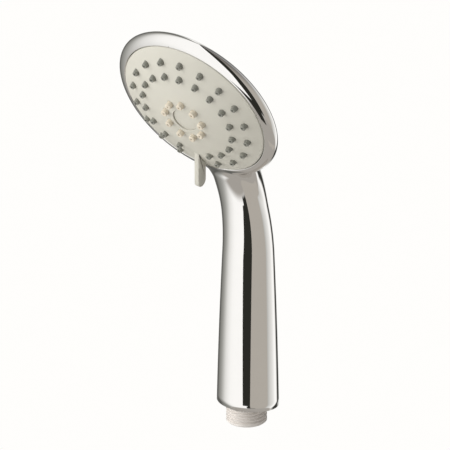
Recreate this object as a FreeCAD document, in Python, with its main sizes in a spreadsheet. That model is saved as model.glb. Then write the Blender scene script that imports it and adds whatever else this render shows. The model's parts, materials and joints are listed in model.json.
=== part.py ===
import FreeCAD, Part
import math
import os
import re
from FreeCAD import Vector
import Sketcher

# Handheld shower head.  Millimetres, +Z up.  The origin is the centre of the
# inlet's sealing face, the handle rises along +Z, the spray side looks along
# -Y and down, and the YZ plane is the mirror plane of the casing.
#
# Two frames carry the pieces.  The handle frame is the frame of the part.
# The head frame stands at the middle of the round face: its z axis is the
# face's outward normal and its -y axis points down the face at the handle.
# Turning pieces use the head frame turned by the selector's angle, so the
# selector lever always lies on their own -y axis.

SIZES = {
    # casing
    "head_tilt": (28.4, "how far the spray axis dips below level, degrees"),
    "head_reach": (42.6, "face centre forward of the inlet axis"),
    "head_height": (176.7, "face centre above the inlet's end"),
    "casing_wall": (2.2, "wall of the chromed moulding"),
    "rim_radius": (44.3, "widest radius of the head"),
    "rim_drop": (4.0, "depth of the widest circle below the face edge"),
    "back_depth": (8.0, "depth of the domed back below the widest circle"),
    "bell_radius": (33.0, "radius of the deeper bell in the middle of the back"),
    "bell_depth": (12.3, "depth of this bell below the widest circle"),
    "grip_bottom": (10.5, "lower edge of the handle above the inlet's end"),
    "grip_offset": (1.1, "handle axis behind the inlet axis"),
    "grip_half_width": (17.0, "handle half width at its lower edge"),
    "grip_half_depth": (13.9, "handle half depth at its lower edge"),
    "grip_belly": (0.42, "belly in the handle's taper, a share"),
    "neck_height": (118.0, "height where the handle's extra width has run out"),
    "neck_half_width": (12.85, "half width at the neck"),
    "neck_half_depth": (9.4, "half depth at the neck"),
    "spine_depth": (10.2, "handle axis below the face edge inside the head"),
    "bend_tangent": (26.0, "tangent length of the bend between handle and head"),
    "ridge_half_depth": (6.2, "half depth where the handle dies into the head"),
    "ridge_end": (12.0, "distance from the face centre where it dies out"),
    # inlet
    "thread_radius": (10.4775, "crest radius of the G 1/2 inlet thread"),
    "thread_pitch": (1.814, "pitch of the G 1/2 thread"),
    "thread_depth": (1.162, "depth of the G 1/2 thread"),
    "thread_land": (1.5, "plain stretch at the inlet's end"),
    "thread_relief": (0.9, "undercut between the thread and the handle"),
    "inlet_bore": (7.0, "radius of the inlet's mouth"),
    "inlet_bore_depth": (9.0, "depth of the inlet's mouth"),
    "plug_thickness": (4.0, "plate of the inlet connector inside the handle"),
    "plug_recess": (1.0, "plate's depth inside the handle's lower edge"),
    "filter_height": (1.2, "filter seat above the inlet's end"),
    "filter_thickness": (1.0, "rim of the filter"),
    "filter_dome": (1.2, "rise of the filter's mesh over its rim"),
    "regulator_height": (3.4, "flow regulator's length"),
    "regulator_neck": (1.6, "length of the regulator's narrow end"),
    "regulator_bore": (1.5, "regulator's middle bore"),
    "regulator_slots": (8, "slots of the flow regulator"),
    "regulator_ring": (0.6, "section radius of the regulator's O-ring"),
    # water way
    "tube_radius": (5.2, "outside of the water tube"),
    "tube_bore": (4.0, "inside of the water tube"),
    "spigot_radius": (3.9, "spigots that enter the water tube"),
    "spigot_bore": (2.8, "water way through the spigots"),
    "spigot_length": (16.0, "length of a spigot inside the water tube"),
    "ring_section": (0.55, "section radius of the small O-rings"),
    # turning face
    "face_radius": (38.9, "radius of the face plate"),
    "face_rise": (8.4, "height of the face's dome"),
    "face_wall": (2.2, "wall of the face plate"),
    "face_skirt": (3.6, "depth of the face plate's rim"),
    "lip_gap": (0.45, "gap between the face plate and the casing"),
    "selector_angle": (-10.5, "selector lever's angle from the handle, degrees"),
    "mat_thickness": (1.4, "silicone mats"),
    "outer_ring": (32.0, "radius of the outer ring of nozzles"),
    "inner_ring": (25.0, "radius of the inner ring of nozzles"),
    "nozzle_count": (17, "nozzles in each ring"),
    "nozzle_step": (20, "angle from one nozzle to the next, degrees"),
    "nozzle_radius": (1.55, "radius of a nozzle"),
    "nozzle_bore": (0.45, "radius of a nozzle's hole"),
    "nozzle_proud": (2.0, "height of a nozzle above the face"),
    "jet_ring": (10.44, "radius of the ring of centre jets"),
    "jet_count": (9, "centre jets"),
    "jet_radius": (1.75, "radius of a centre jet"),
    "jet_bore": (0.5, "radius of a centre jet's hole"),
    "jet_proud": (2.3, "height of a centre jet above the face"),
    "hole_gap": (0.12, "gap between a nozzle and its hole"),
    "cap_radius": (6.5, "radius of the recess for the centre cap"),
    "cap_gap": (0.12, "gap between the cap and its recess"),
    "cap_sunk": (0.7, "cap's top below the crown of the dome"),
    "cap_thickness": (1.6, "thickness of the centre cap"),
    "well_radius": (5.6, "screw well under the cap"),
    "well_depth": (2.9, "depth of the screw well below the cap"),
    "boss_radius": (7.6, "boss inside the face plate's centre"),
    "boss_length": (1.7, "boss below the floor of the screw well"),
    "lever_thickness": (2.8, "thickness of the selector lever"),
    "lever_depth": (6.3, "depth of the selector lever's bar"),
    "lever_lift": (14.6, "lift of the selector lever off the face, degrees"),
    "lever_reach": (44.3, "centre of the selector lever's round nose"),
    "lever_rise": (6.3, "nose's centre above the face edge"),
    "lever_root": (26.3, "where the lever's top leaves the dome"),
    "lever_heel": (36.6, "where the lever's underside leaves the dome"),
    # turning plate, valve and pivot
    "chamber_floor": (-2.6, "front of the turning plate's floor"),
    "plate_back": (-4.2, "back of the turning plate"),
    "plate_radius": (34.6, "radius of the turning plate and the nozzle mat"),
    "chamber_wall": (2.0, "walls of the turning plate"),
    "divider_radius": (17.0, "inside of the wall between the chambers"),
    "port_radius": (2.0, "water ports of the turning plate"),
    "port_ring": (13.0, "circle of the water ports"),
    "port_step": (35.0, "angle from one port to the next, degrees"),
    "gasket_thickness": (0.8, "gasket on the wall between the chambers"),
    "plate_gap": (0.3, "gap between turning and fixed plates"),
    "manifold_thickness": (2.0, "fixed manifold plate"),
    "manifold_radius": (36.2, "radius of the fixed manifold plate"),
    "gallery_radius": (18.6, "water gallery behind the manifold plate"),
    "gallery_depth": (3.6, "depth of the water gallery"),
    "gallery_wall": (1.5, "wall of the water gallery"),
    "spindle_radius": (3.95, "spindle that the face turns on"),
    "pivot_gap": (0.05, "running gap of the spindle and the washer"),
    "screw_radius": (1.4, "shank of the pivot and manifold screws"),
    "screw_head": (2.9, "head radius of these screws"),
    "screw_head_height": (1.5, "head height of these screws"),
    "washer_radius": (5.2, "pivot washer"),
    "washer_thickness": (0.6, "pivot washer"),
    "seal_ring": (32.4, "circle of the large sliding seal"),
    "seal_section": (0.75, "section radius of the large sliding seal"),
    "cup_radius": (3.4, "valve seal cup"),
    "cup_length": (3.0, "valve seal cup"),
    "spring_wire": (0.35, "radius of the valve spring's wire"),
    "spring_pitch": (1.3, "pitch of the valve spring"),
    "boss_ring": (27.5, "circle of the manifold screws"),
    "boss_count": (3, "manifold screws"),
    "screw_reach": (3.2, "length of the manifold screws below the plate's sink"),
    "click_ring": (21.3, "circle of the click spring"),
    "click_length": (9.0, "length of the click spring"),
    "click_width": (3.0, "width of the click spring"),
    "plug_gap": (0.3, "gap between the inlet plate and the handle"),
}

doc = FreeCAD.newDocument("hand_shower")
sheet = doc.addObject("Spreadsheet::Sheet", "Sizes")
for row, (alias, (value, meaning)) in enumerate(SIZES.items(), start=1):
    sheet.set(f"A{row}", str(value))
    sheet.setAlias(f"A{row}", alias)
    sheet.set(f"B{row}", meaning)
doc.recompute()


def cells(formula):
    """A formula of size names as an expression on the sheet."""
    def named(word):
        return f"Sizes.{word[0]}" if word[0] in SIZES else word[0]
    return re.sub(r"[a-z_]+", named, str(formula))


def value(formula):
    """The number that a formula gives now."""
    return float(sheet.evalExpression(cells(formula)))


def bind(thing, prop, formula):
    thing.setExpression(prop, cells(formula))


# ---- worked-out sizes, as formulas of the sheet ---------------------------

SIN_TILT = "sin(head_tilt)"
COS_TILT = "cos(head_tilt)"
# the handle's axis runs into the head parallel to the face, spine_depth below
SPINE_Y = f"(spine_depth*{COS_TILT} - head_reach)"
SPINE_Z = f"(head_height + spine_depth*{SIN_TILT})"
CORNER_REACH = f"((grip_offset - {SPINE_Y})/{SIN_TILT})"
CORNER_Z = f"({SPINE_Z} - {CORNER_REACH}*{COS_TILT})"
BEND_RADIUS = "(bend_tangent/tan(head_tilt/2))"
BEND_START = f"({CORNER_Z} - bend_tangent)"
BEND_END_REACH = f"({CORNER_REACH} - bend_tangent)"
CASING_DEPTH = "(rim_drop + bell_depth)"
LIP_RADIUS = "(face_radius + lip_gap)"
DOME_RADIUS = "((face_radius^2 + face_rise^2)/(2*face_rise))"
DOME_CENTRE = f"(face_rise - {DOME_RADIUS})"
MAT_RADIUS = f"({DOME_RADIUS} - face_wall - 0.05)"
MAT_INSIDE = f"({MAT_RADIUS} - mat_thickness)"
CAP_TOP = "(face_rise - cap_sunk)"
CAP_SEAT = f"({CAP_TOP} - cap_thickness)"
WELL_FLOOR = f"({CAP_SEAT} - well_depth)"
BOSS_END = f"({WELL_FLOOR} - boss_length)"
MANIFOLD_FRONT = "(plate_back - plate_gap)"
MANIFOLD_BACK = f"({MANIFOLD_FRONT} - manifold_thickness)"
GALLERY_BACK = f"({MANIFOLD_BACK} - gallery_depth)"
SEAL_FLOOR = f"({MANIFOLD_FRONT} + plate_gap - 2*seal_section - 0.05)"
HUB_BORE = "(spindle_radius + pivot_gap)"
DIVIDER_OUT = "(divider_radius + chamber_wall)"
PLUG_BOTTOM = "(grip_bottom + plug_recess)"
PLUG_TOP = f"({PLUG_BOTTOM} + plug_thickness)"
LOWER_SPIGOT_END = f"({PLUG_TOP} + spigot_length)"
TUBE_BOTTOM = f"({PLUG_TOP} + 2)"
TUBE_TOP_REACH = f"({BEND_END_REACH} - 8)"
UPPER_SPIGOT_REACH = f"({TUBE_TOP_REACH} + spigot_length - 2)"


def sphere_height(radius, across):
    """Height of a sphere about the dome's centre, at a distance from the axis."""
    return f"({DOME_CENTRE} + sqrt({radius}^2 - ({across})^2))"


# ---- frames ---------------------------------------------------------------

HEAD_BASE = "create(<<vector>>; 0; -1*head_reach; head_height)"
HEAD_TURN = "create(<<rotation>>; create(<<vector>>; 1; 0; 0); 90 + head_tilt)"
LEVER_TURN = "create(<<rotation>>; create(<<vector>>; 0; 0; 1); selector_angle)"
HEAD = f"create(<<placement>>; {HEAD_BASE}; {HEAD_TURN})"
FACE = f"create(<<placement>>; {HEAD_BASE}; {HEAD_TURN}*{LEVER_TURN})"


def in_frame(thing, frame):
    if frame:
        bind(thing, "Placement", frame)


# ---- sketches and features ------------------------------------------------

def plane_sketch(body, name, role, offset="0"):
    """A sketch on one of the body's own origin planes."""
    sketch = body.newObject("Sketcher::SketchObject", name)
    plane = next(item for item in body.Origin.OriginFeatures if item.Role == role)
    sketch.AttachmentSupport = [(plane, "")]
    sketch.MapMode = "FlatFace"
    bind(sketch, "AttachmentOffset.Base.z", offset)
    return sketch


def fix(sketch, kind, *where, formula):
    """A dimension whose value comes from the sheet."""
    row = sketch.addConstraint(Sketcher.Constraint(kind, *where, value(formula)))
    sketch.setExpression(f"Constraints[{row}]", cells(formula))


def outline(sketch, corners):
    """A closed outline.  A corner is (x, y) when a line leads to it, and
    (x, y, cx, cy) when an arc about (cx, cy) leads to it."""
    spots = [Vector(value(corner[0]), value(corner[1]), 0) for corner in corners]
    ends = []
    for row, spot in enumerate(spots):
        corner = corners[(row + 1) % len(corners)]
        after = spots[(row + 1) % len(corners)]
        if len(corner) == 2:
            edge = sketch.addGeometry(Part.LineSegment(spot, after), False)
            ends.append((edge, 1, 2))
            continue
        centre = Vector(value(corner[2]), value(corner[3]), 0)
        first = math.atan2(spot.y - centre.y, spot.x - centre.x)
        last = math.atan2(after.y - centre.y, after.x - centre.x)
        forward = (last - first) % (2*math.pi) < math.pi
        circle = Part.Circle(centre, Vector(0, 0, 1), (spot - centre).Length)
        span = (first, last) if forward else (last, first)
        edge = sketch.addGeometry(Part.ArcOfCircle(circle, *span), False)
        ends.append((edge, 1, 2) if forward else (edge, 2, 1))
        fix(sketch, "DistanceX", edge, 3, formula=corner[2])
        fix(sketch, "DistanceY", edge, 3, formula=corner[3])
    for row, corner in enumerate(corners):
        edge, start, _ = ends[row]
        before, _, end = ends[row - 1]
        sketch.addConstraint(Sketcher.Constraint("Coincident", before, end, edge, start))
        fix(sketch, "DistanceX", edge, start, formula=corner[0])
        if len(corner) == 2:
            fix(sketch, "DistanceY", edge, start, formula=corner[1])


def ring_spot(sketch, radius_formula, across, along):
    """A circle in a sketch, placed by two formulas."""
    centre = Vector(value(across), value(along), 0)
    circle = Part.Circle(centre, Vector(0, 0, 1), value(radius_formula))
    edge = sketch.addGeometry(circle, False)
    fix(sketch, "Radius", edge, formula=radius_formula)
    fix(sketch, "DistanceX", edge, 3, formula=across)
    fix(sketch, "DistanceY", edge, 3, formula=along)


def feature(body, kind, name, sketch, **formulas):
    """A PartDesign feature on a sketch, with its sizes bound."""
    made = body.newObject(f"PartDesign::{kind}", name)
    made.Profile = sketch
    for prop, formula in formulas.items():
        bind(made, prop, formula)
    return made


def turned(body, name, corners, kind="Revolution"):
    """A solid, or a groove, of an outline turned about the body's z axis."""
    sketch = plane_sketch(body, f"{name}_outline", "XZ_Plane")
    outline(sketch, corners)
    made = feature(body, kind, name, sketch)
    made.ReferenceAxis = (sketch, ["V_Axis"])
    made.Angle = 360
    return made


def around(body, name, features, count, span):
    """Repeats features about the body's z axis."""
    axis = next(item for item in body.Origin.OriginFeatures if item.Role == "Z_Axis")
    pattern = body.newObject("PartDesign::PolarPattern", name)
    pattern.Originals = features
    pattern.Axis = (axis, [""])
    bind(pattern, "Occurrences", count)
    bind(pattern, "Angle", span)
    body.Tip = pattern
    return pattern


def new_body(label, frame=None):
    body = doc.addObject("PartDesign::Body", label)
    body.Label = label
    in_frame(body, frame)
    return body


def lathe_piece(label, frame, corners):
    """A piece that is one turned outline."""
    body = new_body(label, frame)
    turned(body, f"{label}_form", corners)
    return body


def block_ring(inner, outer, bottom, top):
    """Outline of a plain ring."""
    return [(inner, bottom), (outer, bottom), (outer, top), (inner, top)]


def about_x(angle):
    return f"create(<<rotation>>; create(<<vector>>; 1; 0; 0); {angle})"


def lifted(frame, level):
    """A frame moved along its own z axis."""
    return f"{frame}*create(<<placement>>; create(<<vector>>; 0; 0; {level}); {about_x(0)})"


def ring(label, frame, circle_radius, section_radius):
    """An O-ring: a torus about a frame's z axis."""
    torus = doc.addObject("Part::Torus", label)
    bind(torus, "Radius1", circle_radius)
    bind(torus, "Radius2", section_radius)
    bind(torus, "Placement", frame)
    return torus


# ---- casing: the handle swept into the domed head -------------------------

def handle_halves(along):
    """Half width and half depth of the handle: its extra size over the neck
    fades with a slight belly while `along` runs from 0 at the lower edge to 1."""
    share = f"max(0; (1 - {along})*(1 + grip_belly*{along}))"
    return (f"(neck_half_width + (grip_half_width - neck_half_width)*{share})",
            f"(neck_half_depth + (grip_half_depth - neck_half_depth)*{share})")


def section(label, half_width, half_depth, base_y, base_z, tilt):
    """One oval section of the handle, square to its axis."""
    oval = doc.addObject("Part::Ellipse", label)
    bind(oval, "MajorRadius", half_width)
    bind(oval, "MinorRadius", half_depth)
    place = f"create(<<vector>>; 0; {base_y}; {base_z})"
    turn = f"create(<<rotation>>; create(<<vector>>; 1; 0; 0); {tilt})"
    bind(oval, "Placement", f"create(<<placement>>; {place}; {turn})")
    return oval


NECK_LENGTH = "(neck_height - grip_bottom)"
STRAIGHT_STATIONS = 5
BEND_STATIONS = 3
HEAD_STATIONS = 3


def handle_loft(label, inset, below):
    """The oval handle as a loft, from `below` under its lower edge into the
    head, with every section smaller by `inset`."""
    sections = []

    def add(along, taper, base_y, base_z, tilt):
        width, depth = handle_halves(along)
        thinner = f"(ridge_half_depth - neck_half_depth)*{taper}"
        sections.append(section(f"{label}_section_{len(sections)}", f"{width} - {inset}",
                                f"{depth} + {thinner} - {inset}", base_y, base_z, tilt))

    for step in range(STRAIGHT_STATIONS):
        part = f"({step}/{STRAIGHT_STATIONS - 1})"
        rise = f"({BEND_START} - grip_bottom)*{part}"
        lift = f"(grip_bottom - {below})" if step == 0 else f"(grip_bottom + {rise})"
        add(f"({rise}/{NECK_LENGTH})", 0, "grip_offset", lift, 0)
    for step in range(1, BEND_STATIONS + 1):
        turn = f"(head_tilt*{step}/{BEND_STATIONS})"
        along = f"(({BEND_START} - grip_bottom + {BEND_RADIUS}*{turn}*pi/180)/{NECK_LENGTH})"
        base_y = f"(grip_offset - {BEND_RADIUS}*(1 - cos({turn})))"
        base_z = f"({BEND_START} + {BEND_RADIUS}*sin({turn}))"
        add(along, 0, base_y, base_z, turn)
    for step in range(1, HEAD_STATIONS + 1):
        taper = f"({step}/{HEAD_STATIONS})"
        reach = f"({BEND_END_REACH} + (ridge_end - {BEND_END_REACH})*{taper})"
        base_y = f"({SPINE_Y} + {reach}*{SIN_TILT})"
        base_z = f"({SPINE_Z} - {reach}*{COS_TILT})"
        add(1, taper, base_y, base_z, "head_tilt")
    loft = doc.addObject("Part::Loft", label)
    loft.Sections = sections
    loft.Solid = True
    return loft


def dome(label, radius, depth, level):
    """Half of a flat ellipsoid that hangs below a level of the head."""
    made = doc.addObject("Part::Ellipsoid", label)
    bind(made, "Radius1", depth)
    bind(made, "Radius2", radius)
    bind(made, "Angle2", "0")
    bind(made, "Placement", lifted(HEAD, level))
    return made


def head_form(label, inset, front):
    """The head's solids of revolution, smaller by `inset`: a domed back with
    a deeper bell in its middle, and in front a bezel rounded by a quarter
    circle.  `front` lists the corners that close it near the face."""
    bezel = new_body(f"{label}_bezel", HEAD)
    middle = "(rim_radius - rim_drop)"
    turned(bezel, f"{label}_bezel_form", [
        ("0", "-1*rim_drop"), (f"rim_radius - {inset}", "-1*rim_drop"),
        (middle, f"-1*{inset}", middle, "-1*rim_drop")] + front)
    return [dome(f"{label}_back", f"rim_radius - {inset}", f"back_depth - {inset}",
                 "-1*rim_drop"),
            dome(f"{label}_bell", f"bell_radius - {inset}", f"bell_depth + 1 - {inset}",
                 "(1 - rim_drop)"), bezel]


def joined(label, shapes):
    made = doc.addObject("Part::MultiFuse", label)
    made.Shapes = shapes
    return made


def cut(label, base, tool):
    made = doc.addObject("Part::Cut", label)
    made.Base = base
    made.Tool = tool
    return made


def rod(label, frame, radius, length, base, tilt="0"):
    """A cylinder that starts at `base` of a frame, leaning by `tilt` about x."""
    made = doc.addObject("Part::Cylinder", label)
    bind(made, "Radius", radius)
    bind(made, "Height", length)
    place = f"create(<<placement>>; create(<<vector>>; {base}); {about_x(tilt)})"
    bind(made, "Placement", f"{frame}*{place}" if frame else place)
    return made


def screw_spots():
    """Where the manifold screws stand, in the head frame."""
    for count in range(round(value("boss_count"))):
        angle = f"(60 + {count}*360/boss_count)"
        yield f"boss_ring*sin({angle}); -1*boss_ring*cos({angle})"


def handle_shell():
    """One chromed moulding: handle and head, hollow, open at the face and at
    the lower edge, with three screw bosses inside the head."""
    outside = joined("casing_outside", [handle_loft("casing_outer", "0", "0")]
                     + head_form("head_outer", "0", [("0", "0")]))
    opening = [(LIP_RADIUS, "-1*casing_wall"), (LIP_RADIUS, "2"), ("0", "2")]
    inside = joined("casing_inside", [handle_loft("casing_inner", "casing_wall", "2")]
                    + head_form("head_inner", "casing_wall", opening))
    posts, bores = [], []
    for count, spot in enumerate(screw_spots()):
        posts.append(rod(f"post_{count}", HEAD, "screw_head + 0.7",
                         f"{CASING_DEPTH} + {MANIFOLD_BACK}", f"{spot}; -1*{CASING_DEPTH}"))
        bores.append(rod(f"post_bore_{count}", HEAD, "screw_radius + 0.05",
                         "screw_reach + 1", f"{spot}; {MANIFOLD_BACK} - screw_reach"))
    hollow = cut("casing_hollow", inside, joined("posts", posts))
    return cut("handle_shell", cut("casing_wall", outside, hollow), joined("post_bores", bores))


# ---- inlet and water way --------------------------------------------------

BASE = f"create(<<placement>>; create(<<vector>>; 0; 0; 0); {about_x(0)})"
GRIP = f"create(<<placement>>; create(<<vector>>; 0; grip_offset; 0); {about_x(0)})"
# the frame of the upper spigot: its z axis runs up the handle's axis
SPINE = (f"create(<<placement>>; create(<<vector>>; 0; {SPINE_Y} + {UPPER_SPIGOT_REACH}*{SIN_TILT};"
         f" {SPINE_Z} - {UPPER_SPIGOT_REACH}*{COS_TILT}); {about_x('head_tilt')})")
SEAT_CIRCLE = "(spigot_radius - ring_section + 0.08)"
LOWER_RING = f"({TUBE_BOTTOM} + 5)"
UPPER_RING = "5"


def inlet_connector():
    """Threaded inlet: nipple, oval plate inside the handle and a spigot for
    the water tube.  The thread is cut as grooves one pitch apart."""
    nipple = new_body("inlet_nipple")
    turned(nipple, "nipple_form", [
        ("0", "0"), ("thread_radius", "0"), ("thread_radius", "grip_bottom - thread_relief"),
        ("thread_radius - 0.8", "grip_bottom - thread_relief"),
        ("thread_radius - 0.8", PLUG_BOTTOM), ("0", PLUG_BOTTOM)])
    grooves = int(value("(grip_bottom - thread_land)/thread_pitch - 0.4"))
    for count in range(grooves):
        level = f"(thread_land + thread_pitch*({count} + 0.5))"
        turned(nipple, f"thread_groove_{count}", [
            ("thread_radius + 0.2", f"{level} - thread_pitch*0.42"),
            ("thread_radius - thread_depth", f"{level} - thread_pitch*0.06"),
            ("thread_radius - thread_depth", f"{level} + thread_pitch*0.06"),
            ("thread_radius + 0.2", f"{level} + thread_pitch*0.42")], "Groove")
    plate = doc.addObject("Part::Extrusion", "plug_plate")
    half_width, half_depth = handle_halves(f"(({PLUG_TOP} - grip_bottom)/{NECK_LENGTH})")
    plate.Base = section("plug_oval", f"{half_width} - casing_wall - plug_gap",
                         f"{half_depth} - casing_wall - plug_gap",
                         "grip_offset", PLUG_BOTTOM, "0")
    plate.DirMode = "Custom"
    plate.Dir = Vector(0, 0, 1)
    plate.Solid = True
    bind(plate, "LengthFwd", "plug_thickness")
    spigot = rod("inlet_spigot", GRIP, "spigot_radius", "spigot_length + 0.5",
                 f"0; 0; {PLUG_TOP} - 0.5")
    bore = rod("inlet_spigot_bore", GRIP, "spigot_bore", LOWER_SPIGOT_END, "0; 0; 1")
    mouth = rod("inlet_mouth", BASE, "inlet_bore", "inlet_bore_depth + 1", "0; 0; -1")
    seat = ring("lower_ring_seat", lifted(GRIP, LOWER_RING), SEAT_CIRCLE, "ring_section + 0.03")
    solid = joined("inlet_solid", [nipple, plate, spigot])
    return cut("inlet_connector", solid, joined("inlet_cuts", [bore, mouth, seat]))


def inlet_filter():
    """A rimmed disc with a raised mesh dome, seated in the inlet's mouth."""
    edge = "(inlet_bore - 0.1)"
    low = "filter_height"
    rim_top = "(filter_height + filter_thickness)"
    crown = "(filter_height + filter_dome)"
    mesh_top = f"({crown} + 0.8)"
    return lathe_piece("inlet_filter", None, [
        ("0", crown), (f"{edge} - 3.5", crown), (f"{edge} - 1.2", low), (edge, low),
        (edge, rim_top), (f"{edge} - 1", rim_top), (f"{edge} - 3.2", mesh_top), ("0", mesh_top)])


REGULATOR_BOTTOM = "(inlet_bore_depth - regulator_height - 0.02)"


def flow_regulator():
    """A plastic cup with a ring of slots that steadies the flow."""
    neck = "(inlet_bore - 2*regulator_ring - 0.2)"
    wide = "(inlet_bore - 0.15)"
    shoulder = f"({REGULATOR_BOTTOM} + regulator_neck)"
    top = f"({REGULATOR_BOTTOM} + regulator_height)"
    body = lathe_piece("flow_regulator", None, [
        ("regulator_bore", REGULATOR_BOTTOM), (neck, REGULATOR_BOTTOM), (neck, shoulder),
        (wide, shoulder), (wide, top), ("regulator_bore", top)])
    sketch = plane_sketch(body, "regulator_slot", "XY_Plane", "-1")
    ring_spot(sketch, "0.45", "0", "3.6")
    slot = feature(body, "Pocket", "regulator_slots", sketch)
    slot.Type = "ThroughAll"
    slot.Midplane = True
    doc.recompute()
    around(body, "regulator_ring", [slot], "regulator_slots", "360")
    return body


def water_tube():
    """The inner tube: straight up the grip, one bend, and on into the head."""
    def path_y(reach):
        return f"{SPINE_Y} + {reach}*{SIN_TILT}"

    def path_z(reach):
        return f"{SPINE_Z} - {reach}*{COS_TILT}"

    body = new_body("water_tube")
    path = plane_sketch(body, "tube_path", "YZ_Plane")
    points = [("grip_offset", TUBE_BOTTOM), ("grip_offset", BEND_START),
              (path_y(BEND_END_REACH), path_z(BEND_END_REACH)),
              (path_y(TUBE_TOP_REACH), path_z(TUBE_TOP_REACH))]
    spots = [Vector(value(across), value(up), 0) for across, up in points]
    centre = Vector(value(f"grip_offset - {BEND_RADIUS}"), value(BEND_START), 0)
    bend = Part.Circle(centre, Vector(0, 0, 1), value(BEND_RADIUS))
    turn = math.radians(value("head_tilt"))
    edges = [path.addGeometry(Part.LineSegment(spots[0], spots[1]), False),
             path.addGeometry(Part.ArcOfCircle(bend, 0, turn), False),
             path.addGeometry(Part.LineSegment(spots[2], spots[3]), False)]
    ends = [(edges[0], 1), (edges[0], 2), (edges[1], 2), (edges[2], 2)]
    for (edge, end), (across, up) in zip(ends, points):
        fix(path, "DistanceX", edge, end, formula=across)
        fix(path, "DistanceY", edge, end, formula=up)
    path.addConstraint(Sketcher.Constraint("Tangent", edges[0], 2, edges[1], 1))
    path.addConstraint(Sketcher.Constraint("Coincident", edges[1], 2, edges[2], 1))
    hollow = plane_sketch(body, "tube_section", "XY_Plane", TUBE_BOTTOM)
    ring_spot(hollow, "tube_radius", "0", "grip_offset")
    ring_spot(hollow, "tube_bore", "0", "grip_offset")
    pipe = body.newObject("PartDesign::AdditivePipe", "tube_form")
    pipe.Profile = hollow
    pipe.Spine = (path, [""])
    return body


# ---- fixed parts of the head ----------------------------------------------

VALVE_SPOT = "0; -1*port_ring"
CUP_TOP = f"({MANIFOLD_FRONT} + plate_gap - 0.03)"
CUP_BOTTOM = f"({CUP_TOP} - cup_length)"


def head_manifold():
    """The fixed plate: gallery behind it, spigot down the handle, spindle in
    front, pocket for the valve seal, groove for the sliding seal."""
    disc = new_body("manifold_disc", HEAD)
    inner = "(gallery_radius - gallery_wall)"
    turned(disc, "manifold_form", [
        ("0", GALLERY_BACK), ("gallery_radius", GALLERY_BACK),
        ("gallery_radius", MANIFOLD_BACK), ("manifold_radius", MANIFOLD_BACK),
        ("manifold_radius", MANIFOLD_FRONT),
        ("seal_ring + seal_section + 0.15", MANIFOLD_FRONT),
        ("seal_ring + seal_section + 0.15", SEAL_FLOOR),
        ("seal_ring - seal_section - 0.15", SEAL_FLOOR),
        ("seal_ring - seal_section - 0.15", MANIFOLD_FRONT),
        ("spindle_radius", MANIFOLD_FRONT), ("spindle_radius", WELL_FLOOR), ("0", WELL_FLOOR)])
    space = lathe_piece("gallery_space", HEAD, block_ring(
        "spindle_radius + 1", inner, f"{GALLERY_BACK} + gallery_wall", MANIFOLD_BACK))
    spigot = rod("head_spigot", SPINE, "spigot_radius", f"{UPPER_SPIGOT_REACH} - {inner}", "0; 0; 0")
    bore = rod("head_spigot_bore", SPINE, "spigot_bore",
               f"{UPPER_SPIGOT_REACH} - {inner} + 2", "0; 0; -1")
    seat = ring("upper_ring_seat", lifted(SPINE, UPPER_RING), SEAT_CIRCLE, "ring_section + 0.03")
    pocket = rod("valve_pocket", HEAD, "cup_radius + 0.1", "manifold_thickness + 1.5",
                 f"{VALVE_SPOT}; {MANIFOLD_BACK} - 0.5")
    cuts = [space, bore, seat, pocket,
            rod("spindle_bore", HEAD, "screw_radius + 0.02",
                f"{WELL_FLOOR} - {MANIFOLD_FRONT} + 3", f"0; 0; {MANIFOLD_FRONT} - 3")]
    for count, spot in enumerate(screw_spots()):
        cuts.append(rod(f"manifold_hole_{count}", HEAD, "screw_radius + 0.15",
                        "manifold_thickness + 2", f"{spot}; {MANIFOLD_BACK} - 1"))
        cuts.append(rod(f"manifold_sink_{count}", HEAD, "screw_head + 0.15",
                        "screw_head_height + 1", f"{spot}; {MANIFOLD_FRONT} - screw_head_height"))
    groove = ring("spindle_ring_seat", lifted(HEAD, SPINDLE_RING),
                  "spindle_radius - ring_section + 0.02", "ring_section + 0.02")
    solid = joined("manifold_solid", [disc, spigot])
    return cut("head_manifold", solid, joined("manifold_cuts", cuts + [groove]))


SPINDLE_RING = f"({MANIFOLD_FRONT} + 2.2)"


def headed_screw(label, spot, level, reach):
    """A pan head and a shank; `level` is the underside of the head."""
    head = rod(f"{label}_head", HEAD, "screw_head", "screw_head_height - 0.05", f"{spot}; {level}")
    shank = rod(f"{label}_shank", HEAD, "screw_radius", f"{reach} + 0.2",
                f"{spot}; {level} - {reach}")
    return joined(label, [head, shank])


def manifold_screws():
    level = f"({MANIFOLD_FRONT} - screw_head_height)"
    return joined("manifold_screws", [
        headed_screw(f"manifold_screw_{count}", spot, level, "screw_reach")
        for count, spot in enumerate(screw_spots())])


def valve_seal():
    """A rubber cup that the spring presses against the turning plate."""
    outside = rod("cup_outside", HEAD, "cup_radius", "cup_length", f"{VALVE_SPOT}; {CUP_BOTTOM}")
    port = rod("cup_port", HEAD, "port_radius", "cup_length + 2", f"{VALVE_SPOT}; {CUP_BOTTOM} - 1")
    seat = rod("cup_seat", HEAD, "cup_radius - 0.7", "cup_length/2 + 1",
               f"{VALVE_SPOT}; {CUP_BOTTOM} - 1")
    return cut("valve_seal", outside, joined("cup_cuts", [port, seat]))


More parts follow.
